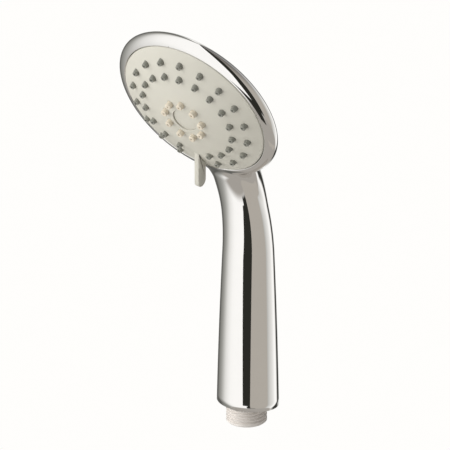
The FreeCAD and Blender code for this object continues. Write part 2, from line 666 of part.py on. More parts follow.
def valve_spring():
    """A short coil spring between the gallery's floor and the cup."""
    low = f"({GALLERY_BACK} + gallery_wall + spring_wire + 0.03)"
    high = f"({CUP_BOTTOM} + cup_length/2 - spring_wire - 0.05)"
    across = "(cup_radius - 0.8 - spring_wire)"
    coil = doc.addObject("Part::Helix", "spring_path")
    coil.SegmentLength = 0.25
    bind(coil, "Pitch", "spring_pitch")
    bind(coil, "Height", f"{high} - {low}")
    bind(coil, "Radius", across)
    wire = doc.addObject("Part::Circle", "spring_wire")
    bind(wire, "Radius", "spring_wire")
    bind(wire, "Placement", f"create(<<placement>>; create(<<vector>>; {across}; 0; 0);"
         f" {about_x(90)})")
    sweep = doc.addObject("Part::Sweep", "valve_spring")
    sweep.Sections = [wire]
    sweep.Spine = (coil, [])
    sweep.Solid = True
    sweep.Frenet = True
    bind(sweep, "Placement", f"{HEAD}*create(<<placement>>; create(<<vector>>; {VALVE_SPOT};"
         f" {low}); {about_x(0)})")
    return sweep


def pivot_screw():
    return headed_screw("pivot_screw", "0; 0", f"({WELL_FLOOR} + washer_thickness + 0.1)",
                        f"(washer_thickness + 0.1 + {WELL_FLOOR} - {MANIFOLD_FRONT} + 1)")


def pivot_washer():
    """It stands on the spindle's end and holds the face by the well's floor."""
    bottom = f"({WELL_FLOOR} + 0.05)"
    return lathe_piece("pivot_washer", HEAD, block_ring(
        "screw_radius + 0.05", "washer_radius", bottom, f"{bottom} + washer_thickness"))


def click_spring():
    """A flat leaf on the manifold's front, under the turning plate."""
    leaf = doc.addObject("Part::Box", "click_spring")
    bind(leaf, "Length", "click_length")
    bind(leaf, "Width", "click_width")
    bind(leaf, "Height", "plate_gap - 0.05")
    spot = f"-1*click_length/2; click_ring - click_width/2; {MANIFOLD_FRONT}"
    bind(leaf, "Placement", f"{HEAD}*create(<<placement>>; create(<<vector>>; {spot}); {about_x(0)})")
    return leaf


# ---- turning face ---------------------------------------------------------

def drill(body, name, radius, across, along, low, high, count=None, step=None):
    """A round hole from one height to another, repeated about the axis."""
    sketch = plane_sketch(body, f"{name}_circle", "XY_Plane", high)
    ring_spot(sketch, radius, across, along)
    hole = feature(body, "Pocket", name, sketch, Length=f"{high} - {low}")
    if count:
        doc.recompute()
        around(body, f"{name}_ring", [hole], count, f"({count} - 1)*{step}")
    return hole


def stud(body, name, radius, across, along, low, high, count, step):
    """A round stud from one height to another, repeated about the axis."""
    sketch = plane_sketch(body, f"{name}_circle", "XY_Plane", low)
    ring_spot(sketch, radius, across, along)
    made = feature(body, "Pad", name, sketch, Length=f"{high} - {low}")
    doc.recompute()
    around(body, f"{name}_ring", [made], count, f"({count} - 1)*{step}")


def on_ring(radius, angle):
    """A spot on a circle, at an angle from the lever."""
    return f"{radius}*sin({angle})", f"-1*{radius}*cos({angle})"


NOZZLE_RINGS = (("outer", "outer_ring"), ("inner", "inner_ring"))
JET_FIRST = "20"
JET_STEP = "(360/jet_count)"


def face_plate():
    """The domed face with its rim, centre boss, screw well and holes."""
    inside = f"({DOME_RADIUS} - face_wall)"
    skirt = "(face_radius - 1.8)"
    centre = ("0", DOME_CENTRE)
    body = lathe_piece("face_plate", FACE, [
        (HUB_BORE, BOSS_END), ("boss_radius", BOSS_END),
        ("boss_radius", sphere_height(inside, "boss_radius")),
        (skirt, sphere_height(inside, skirt), *centre), (skirt, "-1*face_skirt"),
        ("face_radius", "-1*face_skirt"), ("face_radius", "0"),
        ("cap_radius", sphere_height(DOME_RADIUS, "cap_radius"), *centre),
        ("cap_radius", CAP_SEAT), ("well_radius", CAP_SEAT),
        ("well_radius", WELL_FLOOR), (HUB_BORE, WELL_FLOOR)])
    for name, circle in NOZZLE_RINGS:
        across, along = on_ring(circle, "nozzle_step")
        drill(body, f"{name}_holes", "nozzle_radius + hole_gap", across, along,
              "-2", "face_rise", "nozzle_count", "nozzle_step")
    across, along = on_ring("jet_ring", JET_FIRST)
    drill(body, "jet_holes", "jet_radius + hole_gap", across, along,
          f"{WELL_FLOOR}", "face_rise + 1", "jet_count", JET_STEP)
    return body


def mat(label, inner, outer):
    """A ring of silicone sheet that lies against the inside of the face."""
    centre = ("0", DOME_CENTRE)
    return lathe_piece(label, FACE, [
        (inner, sphere_height(MAT_INSIDE, inner)),
        (outer, sphere_height(MAT_INSIDE, outer), *centre),
        (outer, sphere_height(MAT_RADIUS, outer)),
        (inner, sphere_height(MAT_RADIUS, inner), *centre)])


def nozzle_mat():
    """Grey silicone with the two rings of nozzles."""
    body = mat("nozzle_mat", f"({DIVIDER_OUT} + 0.5)", "plate_radius")
    for name, circle in NOZZLE_RINGS:
        across, along = on_ring(circle, "nozzle_step")
        tip = f"({sphere_height(DOME_RADIUS, circle)} + nozzle_proud)"
        root = f"({sphere_height(MAT_INSIDE, circle)} + mat_thickness/2)"
        stud(body, f"{name}_nozzles", "nozzle_radius", across, along, root, tip,
             "nozzle_count", "nozzle_step")
        drill(body, f"{name}_bores", "nozzle_bore", across, along,
              f"({root} - 3)", f"({tip} + 1)", "nozzle_count", "nozzle_step")
    return body


def jet_mat():
    """Cream silicone with the ring of centre jets."""
    body = mat("jet_mat", "(boss_radius + 0.1)", "(divider_radius - 2.5)")
    across, along = on_ring("jet_ring", JET_FIRST)
    tip = f"({sphere_height(DOME_RADIUS, 'jet_ring')} + jet_proud)"
    root = f"({sphere_height(MAT_INSIDE, 'jet_ring')} + mat_thickness/2)"
    stud(body, "jets", "jet_radius", across, along, root, tip, "jet_count", JET_STEP)
    drill(body, "jet_bores", "jet_bore", across, along,
          f"({root} - 3)", f"({tip} + 1)", "jet_count", JET_STEP)
    return body


def distributor_plate():
    """The turning plate behind the face: hub, two chambers and three ports."""
    rim_top = f"({sphere_height(MAT_INSIDE, 'plate_radius')} - 0.05)"
    wall_top = f"({sphere_height(f'({DOME_RADIUS} - face_wall)', DIVIDER_OUT)} - gasket_thickness - 0.1)"
    body = lathe_piece("distributor_plate", FACE, [
        (HUB_BORE, "plate_back"), ("plate_radius", "plate_back"), ("plate_radius", rim_top),
        ("plate_radius - chamber_wall", rim_top), ("plate_radius - chamber_wall", "chamber_floor"),
        (DIVIDER_OUT, "chamber_floor"), (DIVIDER_OUT, wall_top), ("divider_radius", wall_top),
        ("divider_radius", "chamber_floor"), (f"{HUB_BORE} + 2.2", "chamber_floor"),
        (f"{HUB_BORE} + 2.2", f"{BOSS_END} - 0.05"), (HUB_BORE, f"{BOSS_END} - 0.05")])
    across, along = on_ring("port_ring", "-1*selector_angle - port_step")
    drill(body, "ports", "port_radius", across, along, "plate_back - 1",
          "chamber_floor + 0.5", "3", "port_step")
    return body


def chamber_gasket():
    """A flat ring between the divider's edge and the face."""
    top = f"({sphere_height(f'({DOME_RADIUS} - face_wall)', DIVIDER_OUT)} - 0.05)"
    return lathe_piece("chamber_gasket", FACE, block_ring(
        "divider_radius", DIVIDER_OUT, f"{top} - gasket_thickness", top))


def centre_cap():
    """A flat disc that snaps in over the pivot screw."""
    return lathe_piece("centre_cap", FACE, [
        ("0", f"{CAP_SEAT} + 0.02"), ("cap_radius - cap_gap", f"{CAP_SEAT} + 0.02"),
        ("cap_radius - cap_gap", f"{CAP_TOP} - 0.3"), ("cap_radius - cap_gap - 0.3", CAP_TOP),
        ("0", CAP_TOP)])


def selector_lever():
    """A bar that stands on the dome and reaches out over the bezel, lifted
    off it, with a round nose."""
    body = new_body("selector_lever", FACE)
    sketch = plane_sketch(body, "fin_outline", "YZ_Plane")
    seat = f"({DOME_RADIUS} + 0.03)"
    nose = ("-1*lever_reach", "lever_rise")
    along, across = "lever_depth/2*cos(lever_lift)", "lever_depth/2*sin(lever_lift)"
    outline(sketch, [
        ("-1*lever_root", sphere_height(seat, "lever_root")),
        ("-1*lever_heel", sphere_height(seat, "lever_heel"), "0", DOME_CENTRE),
        (f"{nose[0]} - {across}", f"{nose[1]} - {along}"),
        (f"{nose[0]} - {along}", f"{nose[1]} + {across}", *nose),
        (f"{nose[0]} + {across}", f"{nose[1]} + {along}", *nose)])
    fin = feature(body, "Pad", "fin", sketch, Length="lever_thickness")
    fin.Midplane = True
    return body


# ---- build, check and write -----------------------------------------------

def o_rings():
    ring("tube_lower_oring", lifted(GRIP, LOWER_RING), SEAT_CIRCLE, "ring_section")
    ring("tube_upper_oring", lifted(SPINE, UPPER_RING), SEAT_CIRCLE, "ring_section")
    ring("regulator_oring", lifted(BASE, f"({REGULATOR_BOTTOM} + regulator_neck/2)"),
         "(inlet_bore - regulator_ring - 0.15)", "regulator_ring")
    ring("spindle_oring", lifted(HEAD, SPINDLE_RING),
         "(spindle_radius - ring_section + 0.02)", "ring_section")
    ring("face_seal_ring", lifted(HEAD, f"({MANIFOLD_FRONT} + plate_gap - 0.03 - seal_section)"),
         "seal_ring", "seal_section")


NODES = (
    "handle_shell", "inlet_connector", "inlet_filter", "flow_regulator", "regulator_oring",
    "water_tube", "tube_lower_oring", "tube_upper_oring", "head_manifold", "manifold_screws",
    "valve_seal", "valve_spring", "spindle_oring", "face_seal_ring", "pivot_screw",
    "pivot_washer", "click_spring", "face_plate", "nozzle_mat", "jet_mat",
    "distributor_plate", "chamber_gasket", "centre_cap", "selector_lever")


def check_and_write():
    """Stops on any failed object or bad solid before a file is written."""
    doc.recompute()
    for item in doc.Objects:
        if "Invalid" in item.State or "Error" in item.State:
            raise RuntimeError(f"{item.Name} failed: {item.State}")
    for node in NODES:
        piece = doc.getObject(node)
        piece.Label = node
        if piece.Shape.isNull() or not piece.Shape.isValid() or not piece.Shape.Solids:
            raise RuntimeError(f"{node} has no valid solid")
    os.makedirs("parts", exist_ok=True)
    for node in NODES:
        shape = doc.getObject(node).Shape
        print(f"{node}: {len(shape.Solids)} solid(s), {shape.Volume:.1f} mm3")
        shape.exportStep(f"parts/{node}.step")


for build in (handle_shell, inlet_connector, inlet_filter, flow_regulator, water_tube,
              head_manifold, manifold_screws, valve_seal, valve_spring, pivot_screw,
              pivot_washer, click_spring, face_plate, nozzle_mat, jet_mat,
              distributor_plate, chamber_gasket, centre_cap, selector_lever, o_rings):
    build()
check_and_write()
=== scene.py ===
"""Handheld shower head: a chromed oval handle swept into a round tilted head,
a domed face with two rings of silicone nozzles and a ring of centre jets, a
selector lever on the rim and a threaded inlet.

Everything is in metres, in the frame of the part: the origin is the centre of
the inlet's end, the handle rises along +Z and the spray side looks along -Y
and down.  The head's own frame stands at the middle of the face: x is the
part's +X, z is the face's outward axis and -y points down the face at the
handle.
"""

import json
import math
from types import SimpleNamespace

import bmesh
import bpy
import numpy as np
from bpy.props import FloatProperty, FloatVectorProperty, IntProperty, PointerProperty
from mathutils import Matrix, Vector

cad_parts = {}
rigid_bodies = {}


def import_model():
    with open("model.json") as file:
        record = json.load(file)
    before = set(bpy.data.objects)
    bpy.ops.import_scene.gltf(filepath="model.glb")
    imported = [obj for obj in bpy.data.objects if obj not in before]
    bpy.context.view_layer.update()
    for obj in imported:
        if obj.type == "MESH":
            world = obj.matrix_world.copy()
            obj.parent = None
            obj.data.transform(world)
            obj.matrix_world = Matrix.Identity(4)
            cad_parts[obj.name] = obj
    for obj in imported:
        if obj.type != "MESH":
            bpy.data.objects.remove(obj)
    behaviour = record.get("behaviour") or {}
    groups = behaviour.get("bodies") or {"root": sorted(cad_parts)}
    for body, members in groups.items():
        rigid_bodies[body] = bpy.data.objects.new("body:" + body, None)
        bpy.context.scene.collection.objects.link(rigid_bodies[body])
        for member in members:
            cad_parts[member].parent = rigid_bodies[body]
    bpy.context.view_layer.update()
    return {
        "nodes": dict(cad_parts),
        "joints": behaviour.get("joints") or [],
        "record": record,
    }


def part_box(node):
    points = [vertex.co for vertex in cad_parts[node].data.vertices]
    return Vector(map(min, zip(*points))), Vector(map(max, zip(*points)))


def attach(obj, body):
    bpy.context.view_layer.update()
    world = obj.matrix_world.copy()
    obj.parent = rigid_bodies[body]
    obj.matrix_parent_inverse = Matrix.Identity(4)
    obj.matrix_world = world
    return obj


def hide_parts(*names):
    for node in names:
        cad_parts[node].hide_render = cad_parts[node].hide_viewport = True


bl_info = {
    "name": "Handheld shower head",
    "version": (1, 0, 0),
    "blender": (4, 5, 0),
    "location": "View3D > Sidebar > Shower",
    "description": "Builds the visible pieces and finishes of a handheld shower head",
    "category": "Object",
}

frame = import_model()

# ---- what the frame says ---------------------------------------------------

MM = 0.001
HINGE = frame["joints"][0]
CENTRE = np.array(HINGE["pos_m"], float)
AXIS = np.array(HINGE["axis"], float) / np.linalg.norm(HINGE["axis"])
ACROSS = np.array([1.0, 0.0, 0.0])
UP_FACE = np.cross(AXIS, ACROSS)
DOWN_FACE = -UP_FACE
TILT = math.asin(-AXIS[2])
RIM_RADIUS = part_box("handle_shell")[1].x
GRIP_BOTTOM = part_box("handle_shell")[0].z
FACE_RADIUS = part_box("face_plate")[1].x
THREAD_RADIUS = frame["record"]["mounts"][0]["dims"]["r_mm"] * MM
CASING, SPRAY = HINGE["parent"], HINGE["child"]


def linear(code):
    """An sRGB hex colour as three linear values: c/12.92 below 0.04045, and
    ((c + 0.055)/1.055)^2.4 above it."""
    shares = np.array([int(code[k:k + 2], 16) for k in (1, 3, 5)]) / 255
    return tuple(np.where(shares < 0.04045, shares / 12.92, ((shares + 0.055) / 1.055) ** 2.4))


def length(name, meaning, millimetres):
    """A size that the panel shows."""
    return FloatProperty(name=name, description=meaning, default=millimetres * MM,
                         unit="LENGTH", subtype="DISTANCE", precision=4)


def angle(name, meaning, degrees):
    """An angle that the panel shows."""
    return FloatProperty(name=name, description=meaning, default=math.radians(degrees),
                         unit="ROTATION", subtype="ANGLE")


def colour(name, meaning, code):
    """A colour that the panel shows."""
    return FloatVectorProperty(name=name, description=meaning, default=linear(code),
                               subtype="COLOR", size=3, min=0, max=1)


class ShowerCasingSizes(bpy.types.PropertyGroup):
    """Sizes of the handle, the head and the inlet."""

    wall: length("Wall", "Wall of the chromed moulding", 2.2)
    rim_drop: length("Rim drop", "Depth of the widest circle below the face edge", 4.0)
    rim_round: length("Bezel width", "Width of the rounded bezel inside the widest circle", 6.4)
    back_depth: length("Back", "Depth of the domed back below the widest circle", 8.0)
    bell_rise: length("Bell", "Extra depth in the middle of the back", 4.3)
    grip_offset: length("Handle offset", "Handle axis behind the inlet axis", 1.1)
    grip_half_width: length("Half width", "Handle half width at its lower edge", 17.0)
    grip_half_depth: length("Half depth", "Handle half depth at its lower edge", 13.9)
    neck_height: length("Neck height", "Height where the handle is at its slimmest", 118.0)
    neck_half_width: length("Neck half width", "Half width at the neck", 12.85)
    neck_half_depth: length("Neck half depth", "Half depth at the neck", 9.4)
    spine_depth: length("Spine depth", "Handle axis below the face edge in the head", 10.2)
    bend_tangent: length("Bend", "Tangent length of the bend between handle and head", 26.0)
    ridge_half_depth: length("Ridge", "Half depth where the handle dies into the head", 6.2)
    ridge_end: length("Ridge end", "Distance from the face centre where it dies out", 12.0)
    fillet: length("Fillet", "Radius of the blend between handle and head", 15.0)
    lip_gap: length("Lip gap", "Gap between the face plate and the casing", 0.45)
    thread_pitch: length("Thread pitch", "Pitch of the G 1/2 inlet thread", 1.814)
    thread_depth: length("Thread depth", "Depth of the inlet thread", 1.0)
    inlet_bore: length("Inlet bore", "Radius of the inlet's mouth", 7.0)


class ShowerSpraySizes(bpy.types.PropertyGroup):
    """Sizes of the turning spray face."""

    lever_angle: angle("Lever angle", "Selector lever from the handle", -10.5)
    rise: length("Dome", "Height of the face's dome", 8.4)
    wall: length("Wall", "Wall of the face plate", 2.2)
    skirt: length("Skirt", "Depth of the face plate's rim", 3.6)
    outer_ring: length("Outer ring", "Radius of the outer ring of nozzles", 32.0)
    inner_ring: length("Inner ring", "Radius of the inner ring of nozzles", 25.0)
    nozzles: IntProperty(name="Nozzles", description="Nozzles in each ring", default=17)
    nozzle_radius: length("Nozzle", "Radius of a nozzle at the face", 1.55)
    nozzle_proud: length("Nozzle height", "Height of a nozzle above the face", 2.0)
    jet_ring: length("Jet ring", "Radius of the ring of centre jets", 10.44)
    jets: IntProperty(name="Jets", description="Centre jets", default=9)
    jet_radius: length("Jet", "Radius of a centre jet", 1.75)
    jet_proud: length("Jet height", "Height of a centre jet above the face", 2.3)
    hole_gap: length("Hole gap", "Gap between a nozzle and its hole", 0.12)
    cap_recess: length("Cap recess", "Radius of the recess for the centre cap", 6.5)
    cap_sunk: length("Cap sunk", "Cap's top below the crown of the dome", 0.7)
    cap_thickness: length("Cap thickness", "Thickness of the centre cap", 1.6)
    lever_thickness: length("Lever thickness", "Thickness of the selector lever", 2.8)
    lever_depth: length("Lever depth", "Depth of the lever's bar", 6.3)
    lever_root: length("Lever root", "Where the lever's top leaves the dome", 26.3)
    lever_heel: length("Lever heel", "Where the lever's underside leaves the dome", 36.6)
    lever_reach: length("Lever reach", "Centre of the lever's nose", 44.3)
    lever_rise: length("Lever rise", "Nose's centre above the face edge", 6.3)
    lever_lift: angle("Lever lift", "Lift of the lever off the face", 14.6)


class ShowerColours(bpy.types.PropertyGroup):
    """Colours of the finishes."""

    chrome: colour("Chrome", "Bright nickel-chrome plate", "#EFEDEA")
    face: colour("Face", "Satin pearl-grey ABS", "#CBC8BC")
    nozzle: colour("Nozzles", "Grey liquid silicone", "#8D8D84")
    jet: colour("Jets", "Cream liquid silicone", "#DDD3C0")
    inlet: colour("Inlet", "Light grey acetal", "#E0DAD4")
    floor: colour("Floor", "Pale studio floor", "#FFFEFC")


# ---- mesh helpers ----------------------------------------------------------

def grid_faces(rows, columns, wrap_rows=False, wrap_columns=False):
    """Quads between neighbouring points of a grid: point (i, j) is number
    i * columns + j, and a wrapped side joins its last line to its first."""
    i = np.arange(rows if wrap_rows else rows - 1)[:, None]
    j = np.arange(columns if wrap_columns else columns - 1)[None, :]
    after, beside = (i + 1) % rows, (j + 1) % columns
    corners = [i * columns + j, i * columns + beside, after * columns + beside,
               after * columns + j]
    return np.stack(np.broadcast_arrays(*corners), -1).reshape(-1, 4)


def in_head(points, turn=0.0):
    """Points of the head's frame, turned about its axis by `turn`, as points
    of the part: centre + x (cos t X + sin t Y) + y (cos t Y - sin t X) + z n."""
    across = math.cos(turn) * ACROSS + math.sin(turn) * UP_FACE
    up = math.cos(turn) * UP_FACE - math.sin(turn) * ACROSS
    return CENTRE + points[..., :1] * across + points[..., 1:2] * up + points[..., 2:] * AXIS


def lathe(outline, steps=96):
    """A closed outline of (radius, height) turned about the z axis:
    (r sin a, -r cos a, h).  Returns points and faces."""
    angle = np.linspace(0, 2 * math.pi, steps, endpoint=False)
    radius, height = outline[:, :1], outline[:, 1:2]
    points = np.stack(np.broadcast_arrays(radius * np.sin(angle), -radius * np.cos(angle),
                                          height), -1)
    return points.reshape(-1, 3), grid_faces(len(outline), steps, True, True)


def repeated(points, faces, places):
    """Copies of a form at each place, as one set of points and faces."""
    copies = points[None] + places[:, None]
    offsets = np.arange(len(places))[:, None, None] * len(points)
    return copies.reshape(-1, 3), (faces[None] + offsets).reshape(-1, faces.shape[-1])


def joined(*forms):
    """Several (points, faces) as one."""
    points, faces, count = [], [], 0
    for form_points, form_faces in forms:
        points.append(form_points)
        faces.append(form_faces + count)
        count += len(form_points)
    return np.concatenate(points), np.concatenate(faces)


def rounded(corners, steps=5):
    """A closed outline whose corners (x, y, radius) are arcs: each arc starts
    radius / tan(half the corner's angle) before its corner and ends as far
    after it, and its centre lies radius / sin(half) along the bisector."""
    corners = np.array(corners, float)
    line = []
    for before, here, after in zip(np.roll(corners, 1, 0), corners, np.roll(corners, -1, 0)):
        spot, radius = here[:2], here[2]
        if radius <= 0:
            line.append(spot[None])
            continue
        back = (before[:2] - spot) / np.linalg.norm(before[:2] - spot)
        ahead = (after[:2] - spot) / np.linalg.norm(after[:2] - spot)
        half = math.acos(np.clip(back @ ahead, -1, 1)) / 2
        middle = spot + (back + ahead) / np.linalg.norm(back + ahead) * radius / math.sin(half)
        reach = radius / math.tan(half)
        first, last = spot + back * reach - middle, spot + ahead * reach - middle
        share = np.linspace(0, 1, steps)[:, None]
        sweep = math.pi - 2 * half
        line.append(middle + (np.sin((1 - share) * sweep) * first
                              + np.sin(share * sweep) * last) / math.sin(sweep))
    return np.concatenate(line)


def weld(mesh, gap=0.001 * MM):
    """Merges doubled points, so that seams and poles close, and turns every
    face outwards."""
    work = bmesh.new()
    work.from_mesh(mesh)
    bmesh.ops.remove_doubles(work, verts=work.verts, dist=gap)
    bmesh.ops.recalc_face_normals(work, faces=work.faces)
    work.to_mesh(mesh)
    work.free()


def new_object(name, points, faces):
    """A mesh object of these points and faces, linked to the scene."""
    mesh = bpy.data.meshes.new(name)
    mesh.from_pydata(points, [], faces)
    made = bpy.data.objects.new(name, mesh)
    bpy.context.scene.collection.objects.link(made)
    return made


def add_piece(name, points, faces, body, finish, replaces, crease=35):
    """A new piece: welded, smooth except at edges sharper than `crease`
    degrees, finished, and riding on its body."""
    piece = new_object(name, points.tolist(), [list(face) for face in faces])
    weld(piece.data)
    piece.data.shade_smooth()
    piece.data.set_sharp_from_angle(angle=math.radians(crease))
    piece.data.materials.append(finish)
    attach(piece, body)
    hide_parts(*replaces)
    return piece


# ---- materials -------------------------------------------------------------

def add_node(tree, kind, inputs=None, **settings):
    """Adds one node, sets its settings, and gives its inputs values or links."""
    node = tree.nodes.new(kind)
    for key, setting in settings.items():
        setattr(node, key, setting)
    for socket, content in (inputs or {}).items():
        if isinstance(content, bpy.types.NodeSocket):
            tree.links.new(content, node.inputs[socket])
        else:
            node.inputs[socket].default_value = content
    return node


def grain(millimetres):
    """The texture scale that gives features of this size."""
    return 1 / (millimetres * MM)


def start_material(name):
    """An empty material and the place on the object that its patterns read."""
    made = bpy.data.materials.new(name)
    made.use_nodes = True
    made.node_tree.nodes.clear()
    place = add_node(made.node_tree, "ShaderNodeTexCoord").outputs["Object"]
    return made, made.node_tree, place


def finish_material(tree, shader):
    """Leads the shader to the material's surface."""
    add_node(tree, "ShaderNodeOutputMaterial", {"Surface": shader.outputs[0]})


def mottle(tree, place, millimetres, detail):
    """Noise whose patches have this size on the object."""
    node = add_node(tree, "ShaderNodeTexNoise", {"Vector": place, "Scale": grain(millimetres),
                                                 "Detail": detail})
    return node.outputs["Fac"]


def mixed(tree, share, first, second, **settings):
    """The first colour where the share is 0, the second where it is 1."""
    node = add_node(tree, "ShaderNodeMix", {"Factor": share, "A": first, "B": second},
                    data_type="RGBA", **settings)
    return node.outputs["Result"]


def tinted(tree, share, rgb, first, second):
    """A colour that wanders between two shares of itself."""
    return mixed(tree, share, tone(rgb, first), tone(rgb, second))


def ranged(tree, value, low, high, **limits):
    """Leads 0 to `low` and 1 to `high`, or other ends if the limits say so."""
    node = add_node(tree, "ShaderNodeMapRange", {"Value": value, "To Min": low, "To Max": high,
                                                 **limits})
    return node.outputs["Result"]


def dented(tree, height, strength, millimetres):
    """The normal of a surface whose height follows a pattern."""
    node = add_node(tree, "ShaderNodeBump", {"Height": height, "Strength": strength,
                                             "Distance": millimetres * MM})
    return node.outputs["Normal"]


def tone(rgb, share):
    """A colour made lighter or darker by a share, with full alpha."""
    return (*[min(1.0, channel * share) for channel in rgb], 1.0)


def either(tree, share, first, second):
    """The first shader where the share is 0, the second where it is 1."""
    return add_node(tree, "ShaderNodeMixShader", {"Fac": share, 1: first.outputs[0],
                                                  2: second.outputs[0]})


def plated_chrome(rgb):
    """Bright nickel-chrome plate on moulded ABS: a mirror with the faintest
    waviness of the moulding below it and slight wiping marks."""
    made, tree, place = start_material("bright chrome plate")
    # the plating follows the moulding's slow waviness, about 14 mm long
    wave = mottle(tree, place, 14, 1.0)
    # dried film and wiping marks, patches of about 6 mm
    film = mottle(tree, place, 6, 5.0)
    finish_material(tree, add_node(tree, "ShaderNodeBsdfPrincipled", {
        "Base Color": tinted(tree, film, rgb, 1.0, 0.97), "Metallic": 1.0,
        "Roughness": ranged(tree, film, 0.03, 0.06, **{"From Min": 0.35, "From Max": 0.75}),
        "Normal": dented(tree, wave, 0.03, 0.1)}))
    return made


def moulded_plastic(name, rgb, roughness=0.42, texture=0.4, ior=1.53):
    """Injection-moulded plastic: even colour with flow clouding 22 mm long, a
    fine spark-eroded skin and a satin sheen.  `texture` is the skin's grain in
    millimetres, drawn no finer than it can show."""
    made, tree, place = start_material(name)
    cloud = mottle(tree, place, 22, 3.0)
    skin = add_node(tree, "ShaderNodeTexNoise", {"Vector": place, "Scale": grain(texture),
                                                 "Detail": 4.0, "Roughness": 0.6}).outputs["Fac"]
    finish_material(tree, add_node(tree, "ShaderNodeBsdfPrincipled", {
        "Base Color": tinted(tree, cloud, rgb, 0.975, 1.025), "IOR": ior,
        "Roughness": ranged(tree, skin, roughness - 0.05, roughness + 0.05),
        "Normal": dented(tree, skin, 0.25, 0.02)}))
    return made


def moulded_rubber(name, rgb, roughness):
    """Liquid silicone or seal rubber: matt, with a dusty skin about 0.5 mm
    in grain and a slightly darker mottling."""
    made, tree, place = start_material(name)
    dust = mottle(tree, place, 0.5, 5.0)
    finish_material(tree, add_node(tree, "ShaderNodeBsdfPrincipled", {
        "Base Color": tinted(tree, dust, rgb, 0.9, 1.1), "Roughness": roughness, "IOR": 1.41,
        "Normal": dented(tree, dust, 0.2, 0.03)}))
    return made


def turned_steel():
    """Stainless steel screws, washer and springs: turned or rolled, so rings
    2 pi 0.3 = 1.9 mm apart show across the surface."""
    made, tree, place = start_material("stainless steel")
    # the wave is a sine of 20 times the place times the scale
    ring = add_node(tree, "ShaderNodeTexWave", {"Vector": place, "Scale": grain(0.3) / 20,
                                                "Distortion": 2.0}, wave_type="RINGS")
    finish_material(tree, add_node(tree, "ShaderNodeBsdfPrincipled", {
        "Base Color": (*linear("#C6C5C2"), 1), "Metallic": 1.0,
        "Roughness": ranged(tree, ring.outputs["Fac"], 0.22, 0.38),
        "Normal": dented(tree, ring.outputs["Fac"], 0.1, 0.02)}))
    return made


# ---- the casing ------------------------------------------------------------

BLEND_FADE = 9 * MM      # depth below the face where the fillet is at its full radius
LEAST_BLEND = 1.5 * MM   # the fillet's radius at the level of the face
LIP_DIP = 3 * MM         # where the search for the casing's lip starts, below the face
LIP_SEARCH = 8 * MM      # and how far it goes
CASING_SEARCH = 60 * MM  # how far from a section's middle the casing can lie
HANDLE_END = 6 * MM      # how far the handle's oval runs on past the ridge's end
SWELL = 0.42             # how much the grip's flare bulges
SOFTNESS = 0.004         # how softly the flare dies out at the neck


def handle_line(s):
    """The handle's axis: straight up the grip, an arc through the tilt, and
    straight on behind the face.  Lengths count from the lower edge."""
    sin, cos = math.sin(TILT), math.cos(TILT)
    head_y, head_z = CENTRE[1] + s.spine_depth * cos, CENTRE[2] + s.spine_depth * sin
    corner = (s.grip_offset - head_y) / sin
    radius = s.bend_tangent / math.tan(TILT / 2)
    bend_z = head_z - corner * cos - s.bend_tangent
    straight = bend_z - GRIP_BOTTOM
    return SimpleNamespace(radius=radius, bend_z=bend_z, straight=straight,
                           bent=straight + radius * TILT, reach=corner - s.bend_tangent,
                           turn_y=s.grip_offset - radius)


def along_handle(s, line, p):
    """How far along the handle's axis points lie, and how far behind it."""
    y, z = p[..., 1], p[..., 2]
    angle = np.arctan2(z - line.bend_z, y - line.turn_y)
    out = np.hypot(y - line.turn_y, z - line.bend_z)
    end_y = y - line.turn_y - line.radius * math.cos(TILT)
    end_z = z - line.bend_z - line.radius * math.sin(TILT)
    past = angle > TILT
    low = z < line.bend_z
    along = np.where(past, line.bent - end_y * math.sin(TILT) + end_z * math.cos(TILT),
                     line.straight + line.radius * angle)
    behind = np.where(past, end_y * math.cos(TILT) + end_z * math.sin(TILT), out - line.radius)
    return (np.where(low, z - GRIP_BOTTOM, along), np.where(low, y - s.grip_offset, behind))


def handle_halves(s, line, along):
    """Half width and half depth of the handle's oval.  With t the share of
    the way to the neck, the extra size is e = (1 - t)(1 + swell t), softened
    to (e + sqrt(e^2 + softness)) / 2, and inside the head the depth tapers to
    the ridge."""
    share = along / (s.neck_height - GRIP_BOTTOM)
    extra = np.where(share > 1.7, -1, (1 - share) * (1 + SWELL * share))
    extra = (extra + np.sqrt(extra ** 2 + SOFTNESS)) / 2
    taper = np.clip((along - line.bent) / (line.reach - s.ridge_end), 0, 1)
    width = s.neck_half_width + (s.grip_half_width - s.neck_half_width) * extra
    depth = s.neck_half_depth + (s.grip_half_depth - s.neck_half_depth) * extra
    return width, depth + (s.ridge_half_depth - s.neck_half_depth) * taper


def oval_gap(u, v, half_u, half_v):
    """Nearly the distance to an ellipse: q (q - 1) / g, with q the point's
    own share of the ellipse and g the length of the slope of q^2 / 2."""
    share = np.sqrt((u / half_u) ** 2 + (v / half_v) ** 2) + 1e-9
    slope = np.sqrt((u / half_u ** 2) ** 2 + (v / half_v ** 2) ** 2) + 1e-9
    return share * (share - 1) / slope


def head_gap(s, p):
    """Distance to the head: a flat front with an elliptical bezel above the
    widest circle, and below it a flat ellipsoid whose depth grows by
    (1 - (r / rim)^2)^1.5 of the bell's rise."""
    q = p - CENTRE
    level = q @ AXIS
    out = np.sqrt(np.maximum((q * q).sum(-1) - level ** 2, 0))
    height = level + s.rim_drop
    flat = RIM_RADIUS - s.rim_round
    front = np.where(out < flat, level,
                     oval_gap(np.maximum(out - flat, 0), height, s.rim_round, s.rim_drop))
    bell = s.bell_rise * np.maximum(1 - (out / RIM_RADIUS) ** 2, 0) ** 1.5
    return np.where(height > 0, front, oval_gap(out, height, RIM_RADIUS, s.back_depth + bell))


